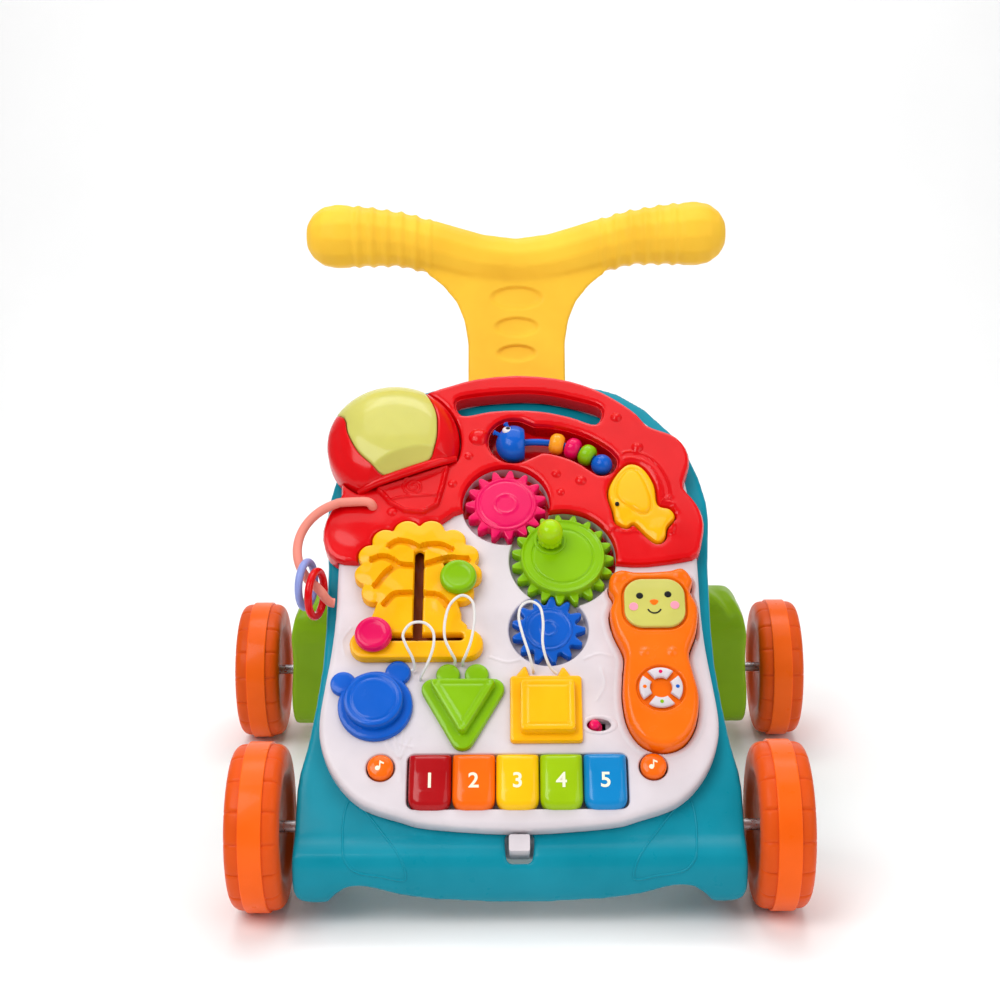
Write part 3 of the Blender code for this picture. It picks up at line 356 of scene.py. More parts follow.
def bump(tree, height, strength, distance, below=None):
    made = tree.nodes.new("ShaderNodeBump")
    made.inputs["Strength"].default_value = strength
    made.inputs["Distance"].default_value = distance
    tree.links.new(height, made.inputs["Height"])
    if below:
        tree.links.new(below, made.inputs["Normal"])
    return made.outputs["Normal"]


def mixed(tree, factor, one, two):
    made = tree.nodes.new("ShaderNodeMix")
    made.data_type = "RGBA"
    made.inputs["A"].default_value = one
    made.inputs["B"].default_value = two
    tree.links.new(factor, made.inputs["Factor"])
    return made.outputs["Result"]


def new_material(name):
    made = bpy.data.materials.new(name)
    made.use_nodes = True
    tree = made.node_tree
    coordinates = tree.nodes.new("ShaderNodeTexCoord")
    return made, tree, tree.nodes["Principled BSDF"], coordinates.outputs["Object"]


def plastic(hue):
    """Moulded plastic: slow colour drift, cloudy gloss, fine grain and the long waves that moulding leaves."""
    known = bpy.data.materials.get("plastic_" + hue)
    if known:
        return known
    code, roughness, coat, through, grain, waves = PLASTICS[hue]
    made, tree, shader, place = new_material("plastic_" + hue)
    base = linear(code)
    deep = (*[c * 0.90 for c in base[:3]], 1.0)
    pale = (*[min(1.0, c * 1.04 + 0.004) for c in base[:3]], 1.0)
    drift = remap(tree, noise(tree, place, 22.0, 3.0), 0.0, 1.0)
    tree.links.new(mixed(tree, drift, deep, pale), shader.inputs["Base Color"])
    cloudy = remap(tree, noise(tree, place, 90.0, 4.0), roughness * 0.8, roughness * 1.25)
    tree.links.new(cloudy, shader.inputs["Roughness"])
    fine = bump(tree, noise(tree, place, 2600.0, 2.0), grain, 0.0004)
    long_waves = bump(tree, noise(tree, place, 55.0, 1.0), waves, 0.004, fine)
    tree.links.new(long_waves, shader.inputs["Normal"])
    shader.inputs["Coat Weight"].default_value = COAT_SHARE * coat
    shader.inputs["Coat Roughness"].default_value = COAT_ROUGHNESS
    shader.inputs["IOR"].default_value = PLASTIC_IOR
    shader.inputs["Specular IOR Level"].default_value = PLASTIC_SPECULAR
    if through:
        shader.inputs["Subsurface Weight"].default_value = through
        shader.inputs["Subsurface Radius"].default_value = (1.0, 0.8, 0.5)
        shader.inputs["Subsurface Scale"].default_value = 0.004
    return made


def steel():
    made, tree, shader, place = new_material("bright_steel")
    drift = remap(tree, noise(tree, place, 60.0, 3.0), 0.0, 1.0)
    tree.links.new(mixed(tree, drift, linear("A8A9AC"), linear("C9CACC")), shader.inputs["Base Color"])
    tree.links.new(remap(tree, noise(tree, place, 400.0, 4.0), 0.22, 0.4), shader.inputs["Roughness"])
    tree.links.new(bump(tree, noise(tree, place, 1800.0, 2.0), 0.06, 0.0003), shader.inputs["Normal"])
    shader.inputs["Metallic"].default_value = 1.0
    return made


def cord_material():
    """A soft white cord with a twisted weave, its dips between the strands painted darker as shade."""
    made, tree, shader, place = new_material("white_cord")
    wave = tree.nodes.new("ShaderNodeTexWave")
    wave.inputs["Scale"].default_value = 420.0
    wave.inputs["Distortion"].default_value = 1.5
    tree.links.new(place, wave.inputs["Vector"])
    # painted shade: the colour follows the weave's height, darker in the dips between strands
    tree.links.new(mixed(tree, wave.outputs["Fac"], linear("D9D6D2"), linear("F6F4F2")),
                   shader.inputs["Base Color"])
    tree.links.new(remap(tree, noise(tree, place, 300.0, 3.0), 0.55, 0.8), shader.inputs["Roughness"])
    tree.links.new(bump(tree, wave.outputs["Fac"], 0.5, 0.0003), shader.inputs["Normal"])
    return made


def floor_material():
    made, tree, shader, place = new_material("studio_floor")
    drift = remap(tree, noise(tree, place, 3.0, 2.0), 0.0, 1.0)
    tree.links.new(mixed(tree, drift, linear("FAFAFA"), linear("FDFDFD")), shader.inputs["Base Color"])
    shader.inputs["Roughness"].default_value = 0.6
    return made


def finish(piece, material):
    piece.data.materials.clear()
    piece.data.materials.append(material)
    return piece


def add(piece, body, hue, slot, *nodes):
    """Colour a piece, hang it on its body and let it stand for its CAD nodes."""
    finish(piece, plastic(hue) if isinstance(hue, str) else hue)
    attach(piece, body)
    if nodes:
        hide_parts(*nodes)
    return piece


# ---- mesh tools ----
def mesh_object(name, points, faces, matrix=Matrix.Identity(4), sharp=35.0):
    """A smooth-shaded mesh from points in millimetres, placed by a matrix in metres."""
    mesh = bpy.data.meshes.new(name)
    mesh.from_pydata([Vector(p) * MM for p in points], [], faces)
    mesh.transform(matrix)
    mesh.shade_smooth()
    mesh.set_sharp_from_angle(angle=math.radians(sharp))
    made = bpy.data.objects.new(name, mesh)
    bpy.context.scene.collection.objects.link(made)
    return made


def merged(name, *pieces):
    """Join mesh objects into the first one, under a new name."""
    mesh = bmesh.new()
    for piece in pieces:
        mesh.from_mesh(piece.data)
    mesh.to_mesh(pieces[0].data)
    mesh.free()
    for piece in pieces[1:]:
        bpy.data.objects.remove(piece, do_unlink=True)
    pieces[0].name = name
    return pieces[0]


def inside(points, outline):
    """Which of the points lie inside a closed outline."""
    x, y = points[:, 0], points[:, 1]
    odd = np.zeros(len(points), bool)
    for (x0, y0), (x1, y1) in zip(outline, outline[1:] + outline[:1]):
        if y0 != y1:
            odd ^= ((y0 > y) != (y1 > y)) & (x < (x1 - x0) * (y - y0) / (y1 - y0) + x0)
    return odd


def distance_to(points, lines):
    """How far each point is from the nearest of some polylines."""
    nearest = np.full(len(points), 1e9)
    for line in lines:
        corners = np.array(line, float)
        for a, b in zip(corners[:-1], corners[1:]):
            along = b - a
            length = along @ along
            if length == 0.0:
                continue
            share = np.clip((points - a) @ along / length, 0.0, 1.0)
            nearest = np.minimum(nearest, np.linalg.norm(points - a - share[:, None] * along, axis=1))
    return nearest


def densify(line, step):
    """The same polyline with points at most a step apart."""
    made = []
    for a, b in zip(line[:-1], line[1:]):
        count = max(1, math.ceil(math.dist(a, b) / step))
        made += [(a[0] + (b[0] - a[0]) * i / count, a[1] + (b[1] - a[1]) * i / count) for i in range(count)]
    return made + [tuple(line[-1])]


def closed(outline):
    return list(outline) + [outline[0]]


def round_over(distance, radius):
    """Drop of a rounded edge below the flat surface, by the distance from the edge."""
    inner = radius - np.minimum(distance, radius)
    return np.sqrt(radius ** 2 - inner ** 2) - radius


def relief(name, outline, low, height, holes=(), within=(), creases=(), trails=(), step=1.6, edge=1.2,
           matrix=PANEL, sharp=35.0):
    """A solid on a flat outline whose upper surface follows height(x, y, distance to the rim).

    Creases are closed or open lines that the surface may fold along; trails are lines that carry a
    (path, half width) ridge, which get extra points so that the ridge is smooth."""
    rims = [closed(loop) for loop in (outline, *holes, *within)]
    rim_points, rim_edges = [], []
    for line in [densify(rim, step) for rim in rims] + [densify(line, step) for line in creases]:
        first = len(rim_points)
        rim_points += line
        rim_edges += [(first + i, first + i + 1) for i in range(len(line) - 1)]

    def in_area(points):
        keep = inside(points, outline)
        for hole in holes:
            keep &= ~inside(points, hole)
        for limit in within:
            keep &= inside(points, limit)
        return keep

    extra = []
    for share in (0.12, 0.4, 1.0):
        for loop in (outline, *holes, *within):
            dense = densify(closed(loop), step)[:-1]
            for sign in (-1, 1):
                ring = np.array(grow(dense, sign * share * edge))
                extra.append(ring[distance_to(ring, rims) > 0.92 * share * edge])
    for path, half in trails:
        dense = densify(path, min(step, half))
        for a, b in zip(dense[:-1], dense[1:]):
            side = Vector((a[1] - b[1], b[0] - a[0])).normalized()
            extra.append(np.array([(a[0] + side.x * half * k, a[1] + side.y * half * k)
                                   for k in (-1.0, -0.6, -0.25, 0.25, 0.6, 1.0)]))
    x0, y0 = np.array(outline).min(0)
    x1, y1 = np.array(outline).max(0)
    rows = np.arange(y0, y1, step * 0.866)
    grid = np.array([(x + (step / 2 if i % 2 else 0.0), y)
                     for i, y in enumerate(rows) for x in np.arange(x0, x1, step)])
    grid = grid[distance_to(grid, rims) > edge + 0.4 * step]
    spread = np.concatenate([*extra, grid])
    spread = spread[in_area(spread)]
    # leave out points that crowd the ones before them
    tree = KDTree(len(rim_points) + len(spread))
    for i, p in enumerate(rim_points):
        tree.insert((*p, 0.0), i)
    for i, p in enumerate(spread):
        tree.insert((*p, 0.0), len(rim_points) + i)
    tree.balance()
    kept = []
    dropped = set()
    crowd = min(0.3 * step, 0.25 * edge)
    for i, p in enumerate(spread):
        index = len(rim_points) + i
        if index in dropped:
            continue
        near = [j for _, j, _ in tree.find_range((*p, 0.0), crowd) if j != index]
        if any(j < len(rim_points) for j in near):
            continue
        dropped.update(j for j in near if j > index)
        kept.append(tuple(p))

    flat, _, faces, *_ = delaunay_2d_cdt([Vector(p) for p in rim_points + kept], rim_edges, [], 0, 1e-4, True)
    flat = np.array([tuple(v) for v in flat])
    faces = np.array(faces)
    faces = faces[in_area(flat[faces].mean(1))]
    used = np.unique(faces)
    renumber = np.full(len(flat), -1)
    renumber[used] = np.arange(len(used))
    flat, faces = flat[used], renumber[faces]
    turn = np.cross(flat[faces[:, 1]] - flat[faces[:, 0]], flat[faces[:, 2]] - flat[faces[:, 0]]) < 0
    faces[turn] = faces[turn][:, ::-1]
    tops = height(flat[:, 0], flat[:, 1], distance_to(flat, rims))
    # walls and floor
    directed = {}
    for a, b, c in faces:
        for pair in ((a, b), (b, c), (c, a)):
            directed[pair] = True
    border = [(a, b) for a, b in directed if (b, a) not in directed]
    under = {a: len(flat) + i for i, a in enumerate(sorted({v for pair in border for v in pair}))}
    points = [(x, y, z) for (x, y), z in zip(flat, tops)] + [(*flat[a], low) for a in under]
    mesh = bmesh.new()
    verts = [mesh.verts.new(Vector(p) * MM) for p in points]
    for a, b, c in faces:
        mesh.faces.new((verts[a], verts[b], verts[c]))
    for a, b in border:
        mesh.faces.new((verts[b], verts[a], verts[under[a]], verts[under[b]]))
    mesh.edges.ensure_lookup_table()
    rim_low = [e for e in mesh.edges if len(e.link_faces) == 1]
    bmesh.ops.triangle_fill(mesh, use_beauty=True, edges=rim_low, normal=(0, 0, -1))
    bmesh.ops.recalc_face_normals(mesh, faces=mesh.faces)
    made = bpy.data.objects.new(name, bpy.data.meshes.new(name))
    mesh.transform(matrix)
    mesh.to_mesh(made.data)
    mesh.free()
    made.data.shade_smooth()
    made.data.set_sharp_from_angle(angle=math.radians(sharp))
    bpy.context.scene.collection.objects.link(made)
    return made


def ridge(x, y, path, half, rise):
    """A rounded ridge of that half width and rise along a path."""
    away = distance_to(np.stack([x, y], 1), [path])
    return rise * np.cos(np.clip(away / half, 0.0, 1.0) * math.pi / 2) ** 2


def dome(x, y, centre, radius, rise, power=0.5):
    """A round bump of that rise."""
    share = ((x - centre[0]) ** 2 + (y - centre[1]) ** 2) / radius ** 2
    return rise * np.maximum(0.0, 1.0 - share) ** power


def ramp(value, start, end):
    """0 before start, 1 after end and a smooth step between them."""
    share = np.clip((value - start) / (end - start), 0.0, 1.0)
    return share * share * (3 - 2 * share)


def turned(name, profile, steps, matrix, wave=None):
    """An (radius, height) profile, listed from the axis to the axis, turned round z.

    wave(angle, index) may scale the radius of each profile point."""
    points, faces = [], []
    count = len(profile)
    for i in range(steps):
        angle = TAU * i / steps
        for k, (r, z) in enumerate(profile):
            reach = r * (wave(angle, k) if wave else 1.0)
            points.append((reach * math.cos(angle), reach * math.sin(angle), z))
        j = (i + 1) % steps
        faces += [(i * count + k, i * count + k + 1, j * count + k + 1, j * count + k)
                  for k in range(count - 1)]
    made = mesh_object(name, points, faces)
    mesh = bmesh.new()
    mesh.from_mesh(made.data)
    bmesh.ops.remove_doubles(mesh, verts=mesh.verts, dist=0.000005)
    bmesh.ops.recalc_face_normals(mesh, faces=mesh.faces)
    mesh.transform(matrix)
    mesh.to_mesh(made.data)
    mesh.free()
    made.data.shade_smooth()
    made.data.set_sharp_from_angle(angle=math.radians(40))
    return made


def soft_profile(points, radius=1.0, steps=4):
    """A turned profile with its corners rounded."""
    made = [Vector(points[0])]
    for before, here, after in zip(points[:-2], points[1:-1], points[2:]):
        before, here, after = Vector(before), Vector(here), Vector(after)
        one, two = before - here, after - here
        reach = min(radius, 0.45 * one.length, 0.45 * two.length)
        start, end = here + one.normalized() * reach, here + two.normalized() * reach
        for i in range(steps + 1):
            u = i / steps
            made.append(start * (1 - u) ** 2 + here * 2 * u * (1 - u) + end * u ** 2)
    return [tuple(p) for p in made + [Vector(points[-1])]]


def tube(name, points, radius, matrix=PANEL, radii=None, sides=5, cyclic=False):
    """A round bar along points in millimetres, as a closed mesh."""
    curve = bpy.data.curves.new(name, "CURVE")
    curve.dimensions = "3D"
    curve.bevel_depth = radius * MM
    curve.bevel_resolution = sides
    curve.use_fill_caps = not cyclic
    curve.twist_mode = "MINIMUM"
    spline = curve.splines.new("POLY")
    spline.use_cyclic_u = cyclic
    spline.points.add(len(points) - 1)
    for index, co in enumerate(points):
        spline.points[index].co = (*[value * MM for value in co], 1.0)
        spline.points[index].radius = radii[index] / radius if radii else 1.0
    holder = bpy.data.objects.new(name, curve)
    bpy.context.scene.collection.objects.link(holder)
    bpy.context.view_layer.update()
    data = bpy.data.meshes.new_from_object(holder.evaluated_get(bpy.context.evaluated_depsgraph_get()))
    bpy.data.objects.remove(holder, do_unlink=True)
    mesh = bmesh.new()
    mesh.from_mesh(data)
    bmesh.ops.remove_doubles(mesh, verts=mesh.verts, dist=0.00001)
    mesh.transform(matrix)
    mesh.to_mesh(data)
    mesh.free()
    data.shade_smooth()
    data.set_sharp_from_angle(angle=math.radians(50))
    made = bpy.data.objects.new(name, data)
    bpy.context.scene.collection.objects.link(made)
    return made


def softened(name, solids, voxel, passes):
    """Fuse closed solids through a fine voxel skin and soften its edges as a moulding's are."""
    made = merged(name, *solids)
    skin = made.modifiers.new("skin", "REMESH")
    skin.mode = "VOXEL"
    skin.voxel_size = voxel * MM
    skin.use_smooth_shade = True
    relax = made.modifiers.new("relax", "SMOOTH")
    relax.factor = 0.5
    relax.iterations = passes
    bpy.context.view_layer.update()
    data = bpy.data.meshes.new_from_object(made.evaluated_get(bpy.context.evaluated_depsgraph_get()))
    data.name = name
    bpy.data.objects.remove(made, do_unlink=True)
    data.shade_smooth()
    result = bpy.data.objects.new(name, data)
    bpy.context.scene.collection.objects.link(result)
    return result


def solid_of(node):
    """A copy of a CAD node's mesh, to work on."""
    made = bpy.data.objects.new(node + "_copy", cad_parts[node].data.copy())
    bpy.context.scene.collection.objects.link(made)
    mesh = bmesh.new()
    mesh.from_mesh(made.data)
    bmesh.ops.remove_doubles(mesh, verts=mesh.verts, dist=0.000005)
    mesh.to_mesh(made.data)
    mesh.free()
    return made


def move_points(piece, shift):
    """Move a mesh's points by shift(points in millimetres, normals), both as arrays."""
    mesh = piece.data
    count = len(mesh.vertices)
    points, normals = np.empty(count * 3), np.empty(count * 3)
    mesh.vertices.foreach_get("co", points)
    mesh.vertices.foreach_get("normal", normals)
    points = points.reshape(-1, 3) / MM
    points += shift(points, normals.reshape(-1, 3))
    mesh.vertices.foreach_set("co", (points * MM).ravel())
    mesh.update()
    return piece


def digit(text, size, centre, lift):
    """A raised numeral on the panel."""
    font = bpy.data.curves.new("numeral_" + text, "FONT")
    font.body = text
    font.size = size * MM
    font.extrude = NUMERAL_DEPTH * MM
    font.offset = 0.25 * MM
    font.align_x = "CENTER"
    font.align_y = "CENTER"
    holder = bpy.data.objects.new("numeral_" + text, font)
    bpy.context.scene.collection.objects.link(holder)
    bpy.context.view_layer.update()
    data = bpy.data.meshes.new_from_object(holder.evaluated_get(bpy.context.evaluated_depsgraph_get()))
    bpy.data.objects.remove(holder, do_unlink=True)
    data.transform(on_panel(*centre, lift))
    made = bpy.data.objects.new("key_numeral_" + text, data)
    bpy.context.scene.collection.objects.link(made)
    return made


# ---- camera ----
def build_camera():
    """Just above the walker's grip, a little over a metre in front of the panel."""
    pitch, yaw, roll = (math.radians(angle) for angle in (13.61, -0.67, -0.55))
    ahead = Vector((math.sin(yaw) * math.cos(pitch), math.cos(yaw) * math.cos(pitch), -math.sin(pitch)))
    level = Vector((math.cos(yaw), -math.sin(yaw), 0.0))
    upright = level.cross(ahead)
    right = level * math.cos(roll) + upright * math.sin(roll)
    up = upright * math.cos(roll) - level * math.sin(roll)
    lens = bpy.data.cameras.new("camera")
    lens.lens = 63.72
    lens.sensor_width = 36.0
    camera = bpy.data.objects.new("camera", lens)
    turn = Matrix((right, up, -ahead)).transposed().to_4x4()
    camera.matrix_world = Matrix.Translation((0.002, -1.29215, 0.5606)) @ turn
    bpy.context.scene.collection.objects.link(camera)
    bpy.context.scene.camera = camera


# ---- cords ----
STRINGS = {
    # each shape piece's cord, along the same route as its CAD solid, in metres in the panel's frame
    "string_blue": [(-.0685, .1085, .0003), (-.067, .1095, .007), (-.0625, .1155, .014),
                    (-.0588, .126, .0185), (-.0592, .136, .0205), (-.0655, .1425, .021), (-.0745, .142, .021),
                    (-.080, .134, .0205), (-.0778, .1265, .018), (-.0736, .120, .012), (-.0724, .1155, .005),
                    (-.0745, .1144, .003)],
    "string_green": [(-.039, .1193, .0003), (-.0385, .1196, .007), (-.036, .122, .014), (-.0325, .131, .0185),
                     (-.0305, .146, .0205), (-.032, .159, .021), (-.0395, .164, .021), (-.0475, .157, .021),
                     (-.051, .144, .0205), (-.051, .132, .0185), (-.047, .1235, .0145), (-.0442, .1206, .008),
                     (-.0445, .119, .003)],
    "string_yellow": [(.0105, .1135, .0003), (.010, .1145, .006), (.007, .124, .012), (.003, .137, .014),
                      (.0005, .150, .014), (.0025, .159, .014), (.009, .1625, .014), (.0155, .158, .014),
                      (.0175, .146, .014), (.017, .131, .0135), (.019, .121, .0105), (.0225, .1145, .006),
                      (.0267, .1114, .003)],
}
CORD_RADIUS = 0.001


def build_cords():
    """Each cord springs out of the panel in a loop and ends in its shape piece's ear."""
    material = cord_material()
    for name, route in STRINGS.items():
        path = [PANEL @ point for point in smooth_path(route, 8)]
        curve = bpy.data.curves.new(name + "_cord", "CURVE")
        curve.dimensions = "3D"
        curve.bevel_depth = CORD_RADIUS
        curve.bevel_resolution = 4
        curve.use_fill_caps = True
        spline = curve.splines.new("POLY")
        spline.points.add(len(path) - 1)
        for point, co in zip(spline.points, path):
            point.co = (*co, 1.0)
        curve.materials.append(material)
        cord = bpy.data.objects.new(name + "_cord", curve)
        bpy.context.scene.collection.objects.link(cord)
        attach(cord, "panel")
        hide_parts(name)


# ---- running gear ----
def build_wheels():
    """Tyre in one moulding with its hub: a smooth raised band, grooves across the shoulders, a ribbed dish."""
    grooves, per_groove = 16, 16
    half = 18.25
    curve = [math.radians(90 - 11.25 * k) for k in range(9)]
    outside = [(46 + 10.4 * math.cos(a) ** 0.72, 8.2 + (half - 8.2) * math.sin(a) ** 0.72)
               for a in curve[:-1]]
    band = soft_profile([(55.2, 7.8), (57.7, 7.8), (58, 7.2), (58, -7.2), (57.7, -7.8), (55.2, -7.8),
                         (55.2, 7.8)], 0.35, 3)
    hub = soft_profile([(4.4, half - 8.5), (15, half - 8.5), (17, half - 6), (30, half - 8.5),
                        (36, half - 7.5),
                        (41, half - 0.6), (44, half)], 2.2, 4)
    back = soft_profile([(44, -half), (38, -half + 0.6), (33, -half + 5), (4.4, -half + 6)], 2.2, 4)
    profile = hub + outside + [(56.6, 0)] + [(r, -z) for r, z in reversed(outside)] + back

    def grooved(angle, k):
        radius, height = profile[k]
        share = (angle * grooves / TAU) % 1.0
        depth = max(0.0, 1 - abs(share - 0.5) * 16)
        on_shoulder = 1.0 if radius > 48 and abs(height) > 8.3 else 0.0
        return 1.0 - 1.2 * depth * on_shoulder / 58.0

    for name, x, y in (("wheel_front_left", -HALF_FRONT_TRACK, -HALF_WHEELBASE),
                       ("wheel_front_right", HALF_FRONT_TRACK, -HALF_WHEELBASE),
                       ("wheel_rear_left", -HALF_REAR_TRACK, HALF_WHEELBASE),
                       ("wheel_rear_right", HALF_REAR_TRACK, HALF_WHEELBASE)):
        place = Matrix.Translation(Vector((x, y, WHEEL_RADIUS)) * MM) @ Matrix.Rotation(
            math.radians(90 if x > 0 else -90), 4, "Y")
        wheel = turned(name + "_tyre", profile, grooves * per_groove, place, grooved)
        ribs = []
        for k in range(6):
            angle = math.radians(60 * k + 15)
            start = (18 * math.cos(angle), 18 * math.sin(angle), half - 9.2)
            end = (35 * math.cos(angle), 35 * math.sin(angle), half - 9.2)
            ribs.append(tube("rib", [start, end], 2.6, place, None, 4))
        add(merged(name + "_tyre", wheel, *ribs), name, "wheel", "wheel_orange", name)
        add(turned(name + "_band", band, 144, place), name, "wheel_band", "wheel_orange")


def build_axles():
    material = steel()
    for name, y, reach, body in (("front_axle", -HALF_WHEELBASE, 193.15, "frame"),
                                 ("rear_axle", HALF_WHEELBASE, 236.15, "rear_frame")):
        head = soft_profile([(0.0, reach), (5, reach - 0.6), (8.5, reach - 3), (8.5, reach - 5),
                             (4.0, reach - 5)],
                            1.2, 4)
        profile = head + [(r, -z) for r, z in reversed(head)]
        place = Matrix.Translation(Vector((0, y, WHEEL_RADIUS)) * MM) @ ALONG_X
        add(turned(name + "_rod", profile, 40, place), body, material, "steel", name)
    finish(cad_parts["hinge_shaft"], material)


def spiral(centre, outer, turns, steps=60):
    """Points of a flat spiral that winds inwards."""
    return [(centre[0] + outer * (1 - 0.82 * i / steps) * math.cos(TAU * turns * i / steps + 2.2),
             centre[1] + outer * (1 - 0.82 * i / steps) * math.sin(TAU * turns * i / steps + 2.2))
            for i in range(steps + 1)]


def shoulder(points, normals):
    """Shift that rounds the outer top of a rear leg like a bent knee."""
    shift = np.zeros_like(points)
    reach, height = np.abs(points[:, 0]), points[:, 2]
    bend = np.clip((height - KNEE_BOTTOM) / KNEE_HEIGHT, 0, 0.98)
    inset = KNEE_INSET * (1 - np.sqrt(1 - bend ** 2)) + 5 * ramp(height, 40, 100)
    shift[:, 0] = -np.sign(points[:, 0]) * inset * ramp(reach, 110, 188)
    return shift


def build_rear_frame():
    for name, side in (("rear_leg_left", -1), ("rear_leg_right", 1)):
        snail = [(side * 191.6, y, z) for y, z in spiral(KNEE, 15, 2.2)]
        trim = [(side * 191.4, HALF_WHEELBASE + 29 * math.cos(a), WHEEL_RADIUS + 29 * math.sin(a))
                for a in [TAU * k / 48 for k in range(48)]]
        solids = [solid_of(name), tube("snail", snail, 1.7, Matrix.Identity(4)),
                  tube("trim", trim, 1.5, Matrix.Identity(4), cyclic=True)]
        leg = move_points(softened(name + "_moulding", solids, 1.6, 22), shoulder)
        add(leg, "rear_frame", "leaf", "leaf_green", name)
    bar = soft_profile([(0, 98.7), (9, 98.7), (9, 94), (7.6, 92), (7.6, -92), (9, -94), (9, -98.7),
                        (0, -98.7)], 1.0, 3)
    place = Matrix.Translation(Vector((0, *ELBOW)) * MM) @ ALONG_X
    add(turned("cross_bar", bar, 36, place), "rear_frame", "leaf", "leaf_green", "rear_cross_bar")


# ---- frame and handle ----
def build_front_frame():
    """The sloped stand: soft edges, and a fine raised leaf line on each side of its skirt."""
    shell = softened("stand_moulding", [solid_of("front_frame")], 1.5, 26)
    surface = BVHTree.FromPolygons([v.co for v in shell.data.vertices],
                                   [f.vertices for f in shell.data.polygons])
    inwards = PANEL.to_3x3() @ Vector((0, 0, -1))
    pieces = [shell]
    for side in (-1, 1):
        leaf = []
        half_leaf = [(116.5, 22), (118.8, 7), (117.5, -14), (115.5, -20), (108.5, -25.4), (92, -27.6),
                     (79, -29.5), (75.8, -27.5), (78, -20), (87.2, -5.7), (102.2, 14), (112, 23.5)]
        for x, t in smooth([(side * x, t) for x, t in half_leaf], 5):
            hit = surface.ray_cast(PANEL @ (Vector((x, t, 60)) * MM), inwards)[0]
            leaf.append(tuple((hit + inwards * 0.0004) / MM))
        pieces.append(tube("leaf", leaf, 0.95, Matrix.Identity(4), cyclic=True))
    add(merged("stand_moulding", *pieces), "frame", "teal", "teal", "front_frame")


def build_back_cover():
    """A plate with a raised border, stiffening ribs and screw wells, and the two hinge ears."""
    extras = []
    for x in (-48, -16, 16, 48):
        extras.append(tube("rib", [(x, 84, -43.4), (x, 330, -43.4)], 2.4))
    for x, t in ((-112, 84), (112, 84), (-112, 170), (112, 170), (-100, 330), (100, 330), (0, 84), (0, 338)):
        place = on_panel(x, t, -44)
        collar = soft_profile([(0, 1.0), (7, 1.0), (7, -3.0), (4.2, -3.0), (3.6, -0.4), (0, -0.4)], 0.6, 3)
        extras.append(turned("screw_well", collar, 32, place))
    cover = softened("stand_back_cover", [solid_of("frame_back_cover"), *extras], 1.5, 3)
    add(cover, "frame", "teal", "teal", "frame_back_cover")
    heads = []
    for x, t in ((-112, 84), (112, 84), (-112, 170), (112, 170), (-100, 330), (100, 330), (0, 84), (0, 338)):
        place = on_panel(x, t, -44.6) @ Matrix.Rotation(math.pi, 4, "X")
        head = turned("screw", soft_profile([(0, 0.7), (1.6, 1.4), (3.2, 0.9), (3.3, 0), (0, 0)], 0.3, 3),
                      24, place)
        heads.append(head)
    add(merged("cover_screws", *heads), "frame", steel(), "steel")


def build_handle():
    """The T grip: six grip ribs on each side, three oval recesses down its neck and soft ends."""
    grip = softened("grip_moulding", [solid_of("handle")], 1.5, 14)

    def shape(points, normals):
        shift = np.zeros_like(points)
        x, z = points[:, 0], points[:, 2]
        bar = ramp(z, 396, 408)
        along = np.abs(x)
        zone = ramp(along, RIB_START, RIB_START + 6) * (1 - ramp(along, 128, 134)) * bar
        rib = 0.5 - 0.5 * np.cos((along - RIB_START) / RIB_PITCH * TAU)
        shift += normals * (zone * (rib ** 2 * 1.5 - 1.1))[:, None]
        for centre, half_x, half_z in ((386.5, 20.5, 8.6), (364.6, 17.0, 7.2), (345.2, 15.0, 6.0)):
            away = np.sqrt((x / half_x) ** 2 + ((z - centre) / half_z) ** 2)
            dent = (1 - ramp(away, 0.82, 1.08)) * (normals[:, 1] < -0.2)
            shift[:, 1] += 3.0 * dent
        return shift

    grip.data.update()
    add(move_points(grip, shape), "frame", "handle", "pale_yellow", "handle")


# ---- panel mouldings ----
def wells():
    return [circle(GEARS["gear_green"][0], 38.5, 72), circle(GEARS["gear_pink"][0], 32.0, 64),
            circle(GEARS["gear_blue"][0], 28.0, 60)]


def upper_openings():
    return [grow(bird_outline(), 0.6), bead_well_outline(), slot_outline(),
            balloon_outline(BALLOON_RADIUS + 0.7)]


